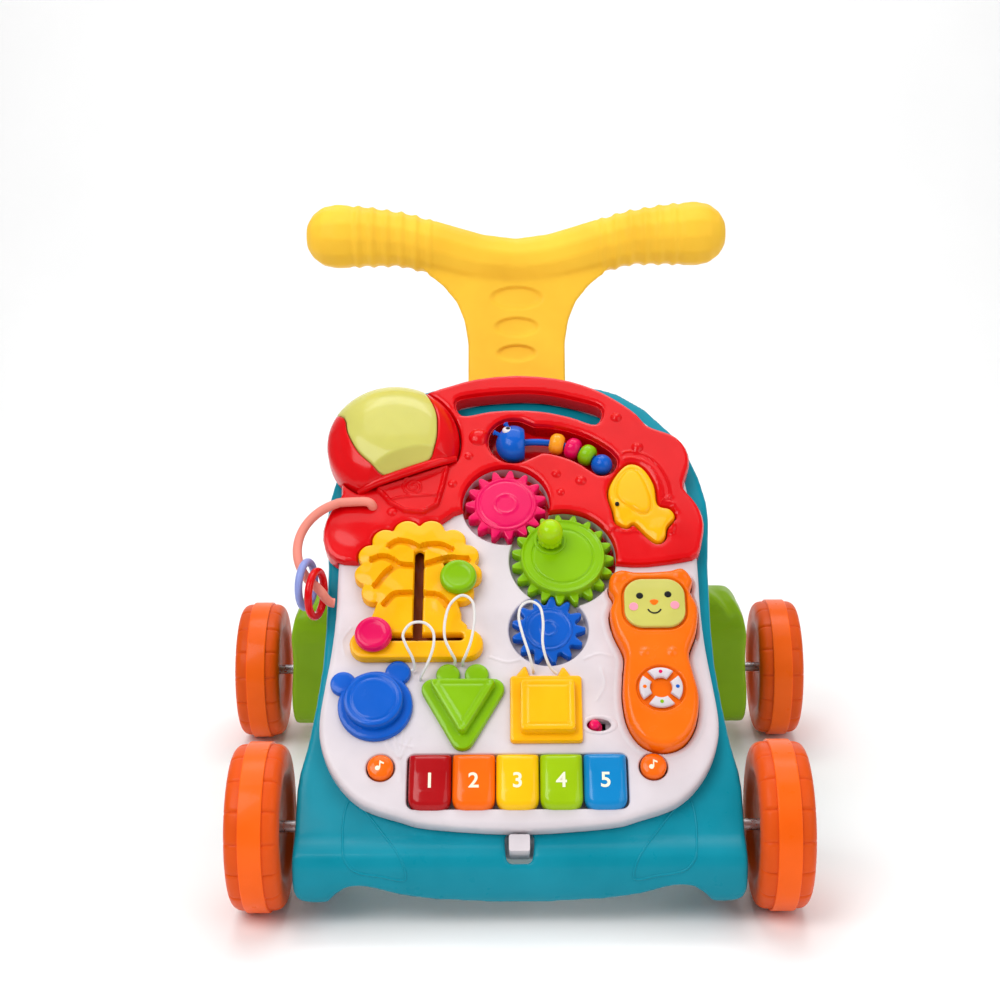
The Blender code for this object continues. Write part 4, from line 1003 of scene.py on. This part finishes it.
def build_shell():
    """The white shell with its wells and windows, a rounded rim and faint moulded twigs."""
    outline = smooth(panel_outline(), 3)
    raised = [grow(face, 0.5) for _, _, face, _ in shape_outlines().values()]
    windows = [tree_outline(-3.0),
               box_outline(KEY_EDGES[0] - 0.6, KEY_SPAN[0] + 1.5, KEY_EDGES[-1] + 0.6, KEY_SPAN[1] + 0.6, 5),
               grow(phone_outline(), 0.35), capsule((49, 74), (61, 74), 4.6), circle((-94, 43), 9.5),
               circle((91, 43), 9.5)]
    twigs = [smooth_path(path, 6) for path in (
        [(-20, 126), (-8, 122), (2, 124)], [(46, 124), (56, 128), (66, 126)],
        [(-86, 66), (-80, 60), (-72, 58)],
        [(-118, 150), (-124, 140), (-122, 128)], [(54, 92), (60, 104), (58, 118)],
        [(-82, 50), (-88, 58), (-92, 65)], [(-81.5, 51), (-84, 60), (-86, 69)],
        [(-81, 51), (-80.5, 61), (-80, 71)],
        [(-80.5, 50), (-77, 59), (-74, 66)], [(-80, 34), (-80.5, 42), (-81, 50)])]
    twigs = [[tuple(p) for p in twig] for twig in twigs]

    def height(x, y, d):
        z = round_over(np.where(distance_to(np.stack([x, y], 1), [closed(outline)]) < 6, d, d * 4), 4.0)
        for twig in twigs:
            z = z + ridge(x, y, twig, 1.6, 0.5)
        cradle = distance_to(np.stack([x, y], 1), [closed(grow(phone_outline(), 4.0))])
        return z + 0.7 * np.cos(np.clip(cradle / 2.6, 0, 1) * math.pi / 2) ** 2

    skin = relief("shell_skin", outline, -9.3, height, [*wells(), *upper_openings(), *windows, *raised],
                  trails=[(twig, 1.6) for twig in twigs] + [(closed(grow(phone_outline(), 4.0)), 2.6)],
                  step=2.0, edge=1.2)
    rim = relief("shell_rim", grow(outline, -0.05), -11.5, flat_at(-9.0), [grow(outline, -2.5)],
                 step=4.0, edge=0.4)
    add(merged("panel_white_shell", skin, rim), "panel", "white", "white", "panel_shell")


def drops():
    """Dew drops on the red cover: centre, radius, rise."""
    return [((-29, 307), 7.5, 3.2), ((75, 324), 4.4, 2.2), ((90, 297), 4.6, 2.2), ((29, 274), 3.6, 1.8),
            ((47, 268), 4.4, 2.2), ((32, 258), 3.2, 1.6), ((-36, 290), 3.4, 1.6), ((-48, 266), 3.6, 1.8),
            ((-92, 242), 4.0, 1.8)]


def build_red_cover():
    """The red top: rounded all round, with dew drops, ripples round the bird and a soft swell on the left."""
    outline = red_outline()
    holes = [*upper_openings(), wells()[0], wells()[1], tree_outline(0.6)]
    ripples = []
    for reach in (5.0, 10.5):
        loop = grow(bird_outline(), reach)
        ripples.append([p for p in closed(loop) if p[0] < 116 and p[1] > 222])
    ripples = [path[8:-8] for path in ripples]

    def height(x, y, d):
        z = RED_TOP + round_over(d, 3.2)
        z = z + dome(x, y, (-118, 232), 22, 2.0, 1.5)
        for centre, radius, rise in drops():
            z = z + dome(x, y, centre, radius, rise, 0.7)
        for path in ripples:
            z = z + ridge(x, y, path, 1.3, 0.9)
        return z

    skin = relief("red_skin", outline, 0.25, height, holes,
                  creases=[closed(circle(c, r, 28)) for c, r, _ in drops()],
                  trails=[(path, 1.3) for path in ripples], step=1.7, edge=3.2)
    lip = relief("red_lip", grow(outline, -0.2), -9.0, flat_at(1.0),
                 [grow(smooth(panel_outline(), 3), 0.3)], step=3.0, edge=0.4)
    linings = [relief(f"lining_{i}", grow(path, 0.4), -9.4, flat_at(RED_TOP - 3.4), [grow(path, -0.6)],
                      step=3.0, edge=0.4) for i, path in enumerate((slot_outline(), bead_well_outline()))]
    floors = [relief("well_floor", path, -9.45, flat_at(-9.1), within=[outline], step=4.0, edge=0.4)
              for path in (bead_well_outline(), wells()[0], wells()[1])]
    add(merged("red_cover", skin, lip, *linings, *floors), "panel", "red", "red", "red_overlay")


def above_bar(x, y):
    """How far a point lies above the line of the balloon's bar."""
    return (y - BAR_START[1]) * math.cos(BAR_SLOPE) - (x - BAR_START[0]) * math.sin(BAR_SLOPE)


def balloon_outline(radius):
    """The balloon's circle, cut off straight along the bar."""
    made = []
    for x, y in circle(BALLOON_CENTRE, radius, 96):
        short = max(0.0, -above_bar(x, y))
        made.append((x - short * math.sin(BAR_SLOPE), y + short * math.cos(BAR_SLOPE)))
    return made


def balloon_height(x, y):
    share = np.hypot(x - BALLOON_CENTRE[0], y - BALLOON_CENTRE[1]) / BALLOON_RADIUS
    dome_top = 4 + 22 * np.maximum(0.0, 1 - share ** 2.6) ** 0.6
    return np.minimum(dome_top, 13.5 + 0.9 * np.maximum(0.0, above_bar(x, y)))


def build_balloon():
    """A domed balloon: its lamp lens up the middle, red wings beside it, a bar and a basket below."""
    ball = balloon_outline(BALLOON_RADIUS)
    pennant = smooth([(-98, 268.5), (-82, 274), (-66, 280.5), (-60.5, 294), (-59.6, 309), (-61.5, 324),
                      (-70, 345), (-85, 380), (-150, 380), (-146, 340), (-129.5, 318), (-126, 303),
                      (-118.5, 287), (-109, 276.5)],
                     3)

    def wings(x, y, d):
        z = balloon_height(x, y) + round_over(d, 1.6)
        fold = [tuple(p) for p in smooth_path([(-120, 268), (-131, 284), (-136, 304)], 8)]
        return z - 0.6 * np.exp(-(distance_to(np.stack([x, y], 1), [fold]) / 2.2) ** 2)

    red_part = relief("balloon_wings", ball, -8.8, wings, [grow(pennant, 0.3)], step=1.3, edge=1.6)
    along = smooth_path([(-117, 259, 4.5), (-106, 263.6, 10.5), (-82, 271.6, 13.6), (-60, 280.6, 12.4),
                         (-46, 287.4, 6.6)], 8)
    bar = tube("balloon_bar", along, 3.3, radii=[3.3 * min(1.0, 0.72 + 0.06 * min(i, len(along) - 1 - i))
                                                 for i in range(len(along))], sides=6)
    add(merged("balloon_wings", red_part, bar), "panel", "red", "red")
    lens = relief("balloon_lens", grow(pennant, -0.1), -4.0,
                  lambda x, y, d: balloon_height(x, y) + 0.3 + round_over(d, 1.0), within=[ball], step=1.3,
                  edge=1.0)
    add(lens, "panel", "lens", "lens", "lamp_lens")
    basket = rounded([(-107, 262), (-95, 247.5), (-84, 240.5), (-69, 238.5), (-57, 246), (-53, 262),
                      (-49, 284)], 3.0)
    border = closed(grow(basket, -2.6))
    curl = spiral((-77, 263), 8.0, 1.9, 50)
    floor_line = [tuple(p) for p in smooth_path([(-96, 251), (-86, 254), (-70, 255.5), (-56, 256)], 6)]

    def weave(x, y, d):
        z = RED_TOP + 0.9 + round_over(d, 1.6)
        for path, half, rise in ((border, 2.4, 2.6), (curl, 1.2, 1.0), (floor_line, 1.5, 1.4)):
            z = z + ridge(x, y, path, half, rise)
        return z

    piece = relief("balloon_basket", basket, RED_TOP + 0.3, weave,
                   trails=[(border, 2.4), (curl, 1.2), (floor_line, 1.5)], step=1.1, edge=1.6)
    add(piece, "panel", "red", "red", "balloon_housing")


def build_tree():
    """The yellow tree: puffed leaves round a slotted canopy, on a bar of ground."""
    outline = tree_outline()
    slots = tree_slots()
    branches = [smooth_path(path, 6) for path in (
        [(-92, 212), (-87, 215), (-79, 214), (-71, 209.5)],
        [(-71, 209.5), (-65, 212), (-56, 212), (-49, 208.5)],
        [(-104, 200.5), (-98, 202.5), (-91, 200.5), (-85, 196.5), (-72, 195)],
        [(-87, 196), (-94, 190), (-101, 179)],
        [(-71, 195), (-62, 198), (-52, 200.8), (-37, 200)],
        [(-94, 165), (-88, 171.5), (-80, 173), (-72, 172.5)],
        [(-70, 172.5), (-58, 171), (-50, 163.5)])]
    branches = [[tuple(p) for p in path] for path in branches]

    def height(x, y, d):
        rim = distance_to(np.stack([x, y], 1), [closed(outline)])
        crown = 1.1 * ramp(rim, 0.5, 9.0) * (1 - ramp(rim, 14.0, 22.0))
        groove = 1 - ramp(distance_to(np.stack([x, y], 1), branches), 2.3, 2.9)
        return TREE_TOP - 0.9 + round_over(d, 1.8) + crown * ramp(y, 150, 170) - 5.5 * groove

    add(relief("tree_face", outline, 0.3, height, slots, trails=[(path, 3.0) for path in branches], step=1.3,
               edge=1.8), "panel", "yellow", "yellow", "tree_plate")
    backing = relief("tree_ground", box_outline(-107, 131, -37, 215, 9), -9.1,
                     lambda x, y, d: 0 * x - 5.5 + 0.25 * np.sin(x * 1.1) * np.sin(y * 0.3), step=1.6,
                     edge=0.8)
    add(backing, "panel", "brown", "brown", "tree_backing")
    for name, hue, slot, centre in (("slider_pink", "pink", "pink", (-101.5, 138.5)),
                                    ("slider_green", "green", "lime", (-42.5, 184.0))):
        profile = soft_profile([(0, 14.9), (7.5, 15.3), (9.6, 15.9), (12.2, 15.2), (13.2, 12.6), (13.2, 10.2),
                                (12.4, 9.4), (1.9, 9.4), (1.9, -0.6), (4.2, -0.6), (4.2, -2.4),
                                (0, -2.4)], 1.0, 4)
        add(turned(name + "_disc", profile, 56, on_panel(*centre, 0)), name, hue,
            slot, name)


def flatten_side(points, head_at):
    """Shift that trims the worm's head flat on the side of its beads."""
    shift = np.zeros_like(points)
    reach = points[:, 0] - head_at[0]
    shift[:, 0] = np.where(reach > 8.0, (8.0 - reach) * 0.85, 0.0)
    return shift


def build_bead_rail():
    """A crawling worm of beads: the head has two feelers and an eye, the tail is a ball."""
    head_at = beside(ARC_CENTRE, HEAD_ANGLE, ARC_RADIUS)
    tail_at = beside(ARC_CENTRE, TAIL_ANGLE, ARC_RADIUS)
    rod = tube("rail", [(*p, 0.0) for p in arc(ARC_CENTRE, ARC_RADIUS, HEAD_ANGLE - 4, TAIL_ANGLE, 40)],
               ROD_RADIUS)
    head_profile = soft_profile([(0, 12), (6, 11.2), (10.5, 7.5), (12.9, 0.5), (12, -5), (8, -8.6),
                                 (0, -8.8)], 4, 5)
    head = turned("head", head_profile, 48, on_panel(*head_at, 0)
                  @ Matrix.Diagonal((1.06, 1.18, 1.0, 1.0)))
    move_points(head, lambda points, normals: flatten_side(points, head_at))
    tail_profile = [(8 * math.sin(math.pi * k / 16), 8 * math.cos(math.pi * k / 16)) for k in range(17)]
    tail = turned("tail", tail_profile, 40, on_panel(*tail_at, 0))
    feelers = []
    for angle in (150, 108):
        root = (*beside(head_at, angle, 10), 3.0)
        knee = (*beside(head_at, angle + 2, 14), 4.6)
        tip = (*beside(head_at, angle + 4, 17), 5.4)
        feelers.append(tube("feeler", smooth_path([root, knee, tip], 5), 1.6,
                            radii=[1.5] * 8 + [2.0, 2.2, 1.4],
                            sides=4))
    add(merged("worm_rail", rod, head, tail, *feelers), "panel", "blue", "blue", "bead_rail")
    eye_at = on_panel(head_at[0] - 4.6, head_at[1] + 6.6, 9.4)
    white = turned("worm_eye_white",
                   soft_profile([(0, 1.5), (2.8, 1.3), (3.9, 0.2), (3.7, -1.5), (0, -1.5)], 0.8), 28,
                   eye_at @ Matrix.Rotation(math.radians(-18), 4, "X"))
    add(white, "panel", "white", "white")
    pupil = turned("worm_eye_pupil",
                   soft_profile([(0, 2.0), (1.2, 1.9), (1.9, 1.2), (1.9, 0.4), (0, 0.4)], 0.4), 24,
                   eye_at @ Matrix.Rotation(math.radians(-18), 4,
                                            "X") @ Matrix.Translation((0.0004, 0.0006, 0)))
    add(pupil, "panel", "black", "black")
    for name, angle in BEAD_ANGLES.items():
        x, y = beside(ARC_CENTRE, angle, ARC_RADIUS)
        across = on_panel(x, y, 0) @ Matrix.Rotation(
            math.radians(angle), 4, "Z") @ Matrix.Rotation(math.radians(90), 4, "X")
        bore = ROD_RADIUS + 0.6
        profile = soft_profile([(bore, 5.5), (5.4, 5.5), (7.9, 3.0), (8.3, 0), (7.9, -3.0), (5.4, -5.5),
                                (bore, -5.5), (bore, 5.5)], 1.6, 4)
        hue = {"bead_orange": "bead_orange", "bead_pink": "pink", "bead_green": "green"}[name]
        slot = {"bead_orange": "orange", "pink": "pink", "green": "lime"}[hue]
        add(turned(name + "_ball", profile, 36, across), name, hue, slot, name)


def build_hoop():
    cx, cy, ch = HOOP_CENTRE
    bend = [(x, y, ch) for x, y in arc((cx, cy), HOOP_RADIUS, 97, 240, 36)]
    start = [(-106.5, 246, RED_TOP + 0.3), (-106.5, 246, 8.2), (-108.2, 246.8, 10.8), (-113, 247.8, 11.3)]
    end = [(-139.8, 173.2, 9.3), (-138.2, 172.2, 5.0), (-136.6, 172, 0.6), (-134.4, 172, -3.2),
           (-131.9, 172, -4.2)]
    turn = Matrix.Rotation(math.radians(-RING_TURN), 3, Vector((0, 1, 1)))
    add(tube("ring_hoop", smooth_path(start + bend[2:-2] + end, 2), 3.4, sides=6), "panel", "salmon",
        "salmon", "hoop")
    for name, hue, x in (("ring_lavender", "lavender", -151.2), ("ring_red", "red", -143.9)):
        angle = -math.acos((x - cx) / HOOP_RADIUS)
        hang = RING_HANG * math.sin(math.radians(45))
        centre = Vector((x, cy + HOOP_RADIUS * math.sin(angle) - hang, ch - hang))
        loop = [centre + turn @ Vector((0, RING_RADIUS * math.cos(a), RING_RADIUS * math.sin(a)))
                for a in [TAU * k / 64 for k in range(64)]]
        add(tube(name + "_loop", loop, RING_TUBE, sides=6, cyclic=True), name, hue, hue, name)


def build_bird():
    """A plump yellow bird button with a wing line, an eye and a soft beak."""
    outline = bird_outline()
    wing = smooth([(72, 258), (75, 249), (83, 243), (92, 238), (98, 243), (97.5, 256), (91, 273), (83, 277),
                   (75.5, 269)], 4)

    def height(x, y, d):
        z = 6.6 + 0.5 * ramp(d, 0, 5) + round_over(d, 2.4)
        z = z + dome(x, y, (75, 243), 9, 1.4, 1.0) + dome(x, y, (105, 226), 9, 0.9, 1.0)
        near = np.stack([x, y], 1)
        z = z + 1.3 * ramp(np.where(inside(near, wing), distance_to(near, [closed(wing)]), 0.0), 0.0, 3.0)
        return z - 0.7 * np.exp(-(distance_to(near, [closed(wing)]) / 0.8) ** 2)

    add(relief("bird_face", outline, -7.2, height, trails=[(closed(wing), 1.5)], step=1.1, edge=2.4),
        "bird_button", "yellow", "yellow", "bird_button")
    eye = turned("bird_eye", soft_profile([(0, 1.0), (1.0, 0.8), (1.6, 0.0), (1.6, -1.5), (0, -1.5)], 0.5),
                 24, on_panel(73, 245.5, 9.9))
    add(eye, "bird_button", "black", "black")


def build_gears():
    """Three meshing gears: a green one with a raised rim, a flat pink one, a small blue one."""
    dressing = {
        # face radius, tooth top, face top, rings of (radius, half width, rise), hue, slot
        "gear_green": (30.5, 2.0, 6.0, [(29.2, 1.6, 1.0), (22.0, 1.2, -0.8)], "green", "lime"),
        "gear_pink": (22.5, 3.0, 3.9, [(19.5, 1.4, -0.5), (8.0, 1.6, 0.5)], "pink", "pink"),
        "gear_blue": (17.0, 0.5, 1.4, [(14.6, 1.2, -0.4), (5.5, 1.4, 0.5)], "blue", "blue"),
    }
    for name, (face, tooth_top, face_top, rings, hue, slot) in dressing.items():
        centre, teeth, first = GEARS[name]
        outline = [(centre[0] + x, centre[1] + y) for x, y in gear_outline(teeth, first)]

        def height(x, y, d, centre=centre, face=face, tooth_top=tooth_top, face_top=face_top, rings=rings):
            r = np.hypot(x - centre[0], y - centre[1])
            on_face = 1 - ramp(r, face - 0.5, face + 0.3)
            z = tooth_top + round_over(d, 0.9) * (1 - on_face) + (face_top - tooth_top) * on_face
            z = z + np.where(on_face > 0.5, round_over(np.maximum(face - r, 0), 1.0), 0.0)
            for radius, half, rise in rings:
                z = z + rise * np.cos(np.clip(np.abs(r - radius) / half, 0, 1) * math.pi / 2) ** 2
            return z

        circles = [closed(circle(centre, r, 96)) for r in (face - 1.0, face - 0.5, face - 0.1, face + 0.3)]
        trails = [(closed(circle(centre, radius, 72)), half) for radius, half, _ in rings]
        wheel = relief(name + "_disc", outline, -6.0, height, creases=circles, trails=trails, step=1.3,
                       edge=0.9)
        extra = []
        if name == "gear_green":
            knob_at = on_panel(centre[0] - 9, centre[1] + 13, 0)
            collar = soft_profile([(9.6, 5.6), (9.6, 6.8), (11.6, 6.9), (12.2, 5.6), (12.2, 4.0), (9.6, 4.0),
                                   (9.6, 5.6)], 0.6, 4)
            extra.append(turned("collar", collar, 48, knob_at))
        add(merged(name + "_disc", wheel, *extra), name, hue, slot, name)
    centre = GREEN_CENTRE
    profile = soft_profile([(0, 27), (5, 26.2), (8.4, 22.5), (9.4, 17), (8.9, 12), (9.2, 7.4), (3, 7.3),
                            (3, 3.2), (0, 3.2)], 2.0, 5)
    heights = [z for _, z in profile]

    def fluted(angle, k):
        return 1.0 - (0.045 * (0.5 - 0.5 * math.cos(14 * angle)) if 7.5 < heights[k] < 14 else 0.0)

    knob = turned("crank_grip", profile, 112, PANEL @ Matrix.Translation(
        Vector((centre[0] - 9, centre[1] + 13, 0)) * MM), fluted)
    add(knob, "crank_knob", "knob", "lime", "crank_knob")


def build_keys():
    """Five glossy piano keys with round noses and pale numerals."""
    names = ("key_red", "key_orange", "key_yellow", "key_green", "key_blue")
    hues = ("dark_red", "key_orange", "key_yellow", "key_green", "sky")
    slots = ("dark_red", "orange", "yellow", "lime", "sky")
    for index, (name, hue, slot) in enumerate(zip(names, hues, slots)):
        x0, x1 = KEY_EDGES[index] + 0.3, KEY_EDGES[index + 1] - 0.3
        middle = (x0 + x1) / 2
        low, top = KEY_SPAN
        outline = (arc((x0 + 9, low + 9), 9, 180, 270, 8) + arc((x1 - 9, low + 9), 9, 270, 360, 8)
                   + arc((x1 - 1.5, top - 1.5), 1.5, 0, 90, 4) + arc((x0 + 1.5, top - 1.5), 1.5, 90, 180, 4))

        def height(x, y, d, middle=middle):
            slope = np.interp(y, [12, 16, 24, 38, 52], [3.4, 4.6, 5.5, 5.6, 4.6])
            return slope - 1.6 * ((x - middle) / 14.5) ** 4 + round_over(d, 4.0)

        key = relief(name + "_cap", outline, -5.2, height, step=1.4, edge=4.0)
        add(key, name, hue, slot, name)
        numeral = digit(str(index + 1), 15.0, (middle, 31.0), 5.62)
        add(numeral, name, "print", "white")


def flat_icon(name, outline, low, top, step=1.0):
    return relief(name, outline, low, lambda x, y, d: 0 * x + top + round_over(d, 0.15), step=step, edge=0.15)


def build_buttons():
    for name, x in (("music_button_left", -94), ("music_button_right", 91)):
        place = on_panel(x, 43, 0)
        profile = soft_profile([(0, 4.4), (4.5, 4.3), (7.6, 3.4), (8.9, 1.8), (8.9, -7), (0, -7)], 1.2, 4)
        add(turned(name + "_cap", profile, 48, place), name, "key_orange", "orange", name)
        dot = flat_icon("head", circle((x - 1.6, 41.2), 1.7, 20), 3.9, 4.55)
        stem = flat_icon("stem", box_outline(x - 0.5, 41.2, x + 0.3, 46.6), 3.9, 4.55)
        flag = flat_icon("flag", [(x - 0.3, 45.0), (x + 2.6, 44.0), (x + 2.6, 45.2), (x - 0.3, 46.6)], 3.9,
                         4.55)
        add(merged(name + "_icon", dot, stem, flag), name, "print", "white")
    rim = turned("power_recess", soft_profile([(7.4, 0.05), (6.6, 0.55), (5.6, 0.5), (4.6, -0.4), (4.6, -1.2),
                                               (7.4, -1.2), (7.4, 0.05)], 0.3, 3), 40,
                 on_panel(55, 74, 0) @ Matrix.Diagonal((1.8, 1.0, 1.0, 1.0)))
    add(rim, "panel", "white", "white")
    profile = soft_profile([(0, 2.6), (1.6, 2.5), (3.0, 2.0), (3.5, 1), (3.5, -4), (5.4, -4), (5.4, -6),
                            (0, -6)], 0.6, 3)
    add(turned("power_knob", profile, 36, on_panel(52, 74, 0)), "power_slider", "pink",
        "pink", "power_slider")


def build_phone():
    """A toy phone shaped like a bear, with a plain face on its screen and four keys on its belly."""
    outline = phone_outline()
    screen = box_outline(75, 143, 118, 181, 13, 10)
    collar = closed(grow(screen, 2.4))
    pad_rim = closed(circle(PAD_CENTRE, 17.6, 60))

    def height(x, y, d):
        z = PHONE_TOP - 0.7 + round_over(d, 5.0)
        z = z + dome(x, y, (71.5, 185.5), 6.4, 1.4, 0.8) + dome(x, y, (116.5, 188.0), 6.4, 1.4, 0.8)
        z = z + dome(x, y, (88, 124), 3.2, 1.2, 0.8) + dome(x, y, (107, 124), 3.2, 1.2, 0.8)
        return z + ridge(x, y, collar, 2.0, 0.8) + ridge(x, y, pad_rim, 1.8, 0.7)

    skin = relief("bear_skin", outline, -8.2, height, [grow(screen, 0.3), circle(PAD_CENTRE, 15.6, 64)],
                  trails=[(collar, 2.0), (pad_rim, 1.8)], step=1.4, edge=2.0,
                  creases=[closed(circle((71.5, 185.5), 6.4, 28)), closed(circle((116.5, 188.0), 6.4, 28))])
    floor = relief("bear_floor", grow(outline, -3.5), -8.0, flat_at(PHONE_TOP - 2.9), step=5.0, edge=1)
    add(merged("phone_bear", skin, floor), "phone", "orange", "orange", "phone_body")
    glass = relief("phone_window", screen, PHONE_TOP - 1.9,
                   lambda x, y, d: PHONE_TOP + 0.9 + 0.3 * ramp(d, 0, 10) + round_over(d, 1.0), step=1.4,
                   edge=1.0)
    add(glass, "phone", "lens", "lens", "phone_screen")
    level = PHONE_TOP + 1.0
    marks = [("phone_eye_left", circle((86, 167), 2.5, 24), "black"),
             ("phone_eye_right", circle((106, 168), 2.5, 24), "black"),
             ("phone_nose", smooth([(93, 163), (96, 164.2), (99, 163), (98, 160.6), (96, 159.6),
                                    (94, 160.6)], 4),
              "orange"),
             ("phone_mouth", [tuple(p) for p in grow(arc((96, 158), 5.4, 200, 340, 14)
                                                     + list(reversed(arc((96, 158), 4.2, 200, 340, 14))),
                                                     0.0)],
              "black"),
             ("phone_cheek_left", circle((81.5, 158.5), 3.2, 24), "cheek"),
             ("phone_cheek_right", circle((110.5, 159.5), 3.2, 24), "cheek")]
    for name, shape, hue in marks:
        add(flat_icon(name, shape, level, level + 0.42, 1.2), "phone", hue,
            {"black": "black", "cheek": "pink",
           "orange": "orange"}[hue])
    for name, direction, hue in (("phone_button_up", 90, "pink"), ("phone_button_right", 0, "blue"),
                                 ("phone_button_down", 270, "green"), ("phone_button_left", 180, "orange")):
        shape = (arc(PAD_CENTRE, 15.0, direction - 36, direction + 36, 14)
                 + arc(PAD_CENTRE, 7.6, direction + 33, direction - 33, 8))
        cap = relief(name + "_cap", shape, PHONE_TOP - 1.6,
                     lambda x, y, d: PHONE_TOP + 0.7 + 0.6 * ramp(d, 0, 3) + round_over(d, 1.0), step=0.9,
                     edge=1.0)
        add(cap, name, "white", "white", name)
        spot = beside(PAD_CENTRE, direction, 11.3)
        icon = flat_icon(name + "_icon", circle(spot, 1.35, 18), PHONE_TOP + 1.0, PHONE_TOP + 1.46, 0.8)
        add(icon, name, hue, {"pink": "pink", "blue": "blue", "green": "lime", "orange": "orange"}[hue])


def build_shapes():
    for name, (flange, ears, face, hue) in shape_outlines().items():
        plain = relief(name + "_flange", flange, 0.3, lambda x, y, d: 4.6 + 0 * x + round_over(d, 1.8),
                       step=1.6, edge=1.8)
        lobes = [relief(f"{name}_ear_{i}", ear, 0.35, lambda x, y,
                        d: 4.4 + 0.3 * ramp(d, 0, 6) + round_over(d, 2.0),
                        step=1.2, edge=2.0) for i, ear in enumerate(ears)]
        inner = closed(grow(face, -4.5))
        raised = relief(name + "_face", face, -4.0,
                        lambda x, y, d: 11.4 + round_over(d, 2.0)
                        - 0.6 * np.exp(-(distance_to(np.stack([x, y], 1), [inner]) / 0.9) ** 2),
                        trails=[(inner, 1.6)], step=1.3, edge=2.0)
        slot = {"blue": "blue", "green": "lime", "yellow": "yellow"}[hue]
        add(merged(name + "_piece", plain, *lobes, raised), name, hue, slot, name)


def dress_cad_nodes():
    """The pieces whose CAD shape is already right get their finish here."""
    for node, hue in (("panel_latch", "white"), ("panel_back_cover", "white"), ("battery_cover", "white"),
                      ("battery_pack", "black"), ("speaker", "black"), ("circuit_board", "board")):
        finish(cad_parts[node], plastic(hue))


# ---- stage ----
def build_stage():
    """A pale floor that curves up behind, and soft light from above and both sides."""
    steps = 24
    depth, rise, bend = 2.6, 3.0, 1.2
    path = [(-3.0, 0.0), (depth - bend, 0.0)]
    path += [(depth - bend + bend * math.sin(math.pi / 2 * k / steps),
              bend - bend * math.cos(math.pi / 2 * k / steps))
             for k in range(1, steps + 1)]
    path.append((depth, rise))
    mesh = bpy.data.meshes.new("studio_floor")
    half = 4.0
    points = [(side * half, y, z) for y, z in path for side in (-1, 1)]
    mesh.from_pydata(points, [], [(2 * i, 2 * i + 1, 2 * i + 3, 2 * i + 2) for i in range(len(path) - 1)])
    mesh.shade_smooth()
    mesh.materials.append(floor_material())
    backdrop = bpy.data.objects.new("studio_floor", mesh)
    bpy.context.scene.collection.objects.link(backdrop)
    for name, place, size, power, aim in (("key_light", (-1.1, -1.3, 1.9), 1.4, 30, (0, 0, 0.2)),
                                          ("fill_light", (1.5, -1.2, 1.2), 1.6, 12, (0, 0, 0.2)),
                                          ("top_light", (0.0, 0.3, 2.3), 1.8, 17, (0, 0, 0.2)),
                                          ("wall_light", (0.0, 0.9, 2.6), 1.6, 26, (0, 2.6, 1.0))):
        light = bpy.data.lights.new(name, "AREA")
        light.shape = "SQUARE"
        light.size = size
        light.energy = power
        lamp = bpy.data.objects.new(name, light)
        lamp.location = place
        lamp.rotation_euler = (Vector(aim) - Vector(place)).to_track_quat("-Z", "Y").to_euler()
        bpy.context.scene.collection.objects.link(lamp)
    world = bpy.data.worlds.new("studio")
    world.use_nodes = True
    world.node_tree.nodes["Background"].inputs["Color"].default_value = (1.0, 1.0, 1.0, 1.0)
    world.node_tree.nodes["Background"].inputs["Strength"].default_value = 0.33
    bpy.context.scene.world = world
    bpy.context.scene.view_settings.view_transform = "Standard"


build_camera()
build_cords()
build_wheels()
build_axles()
build_rear_frame()
build_front_frame()
build_back_cover()
build_handle()
build_shell()
build_red_cover()
build_balloon()
build_tree()
build_bead_rail()
build_hoop()
build_bird()
build_gears()
build_keys()
build_buttons()
build_phone()
build_shapes()
dress_cad_nodes()
build_stage()
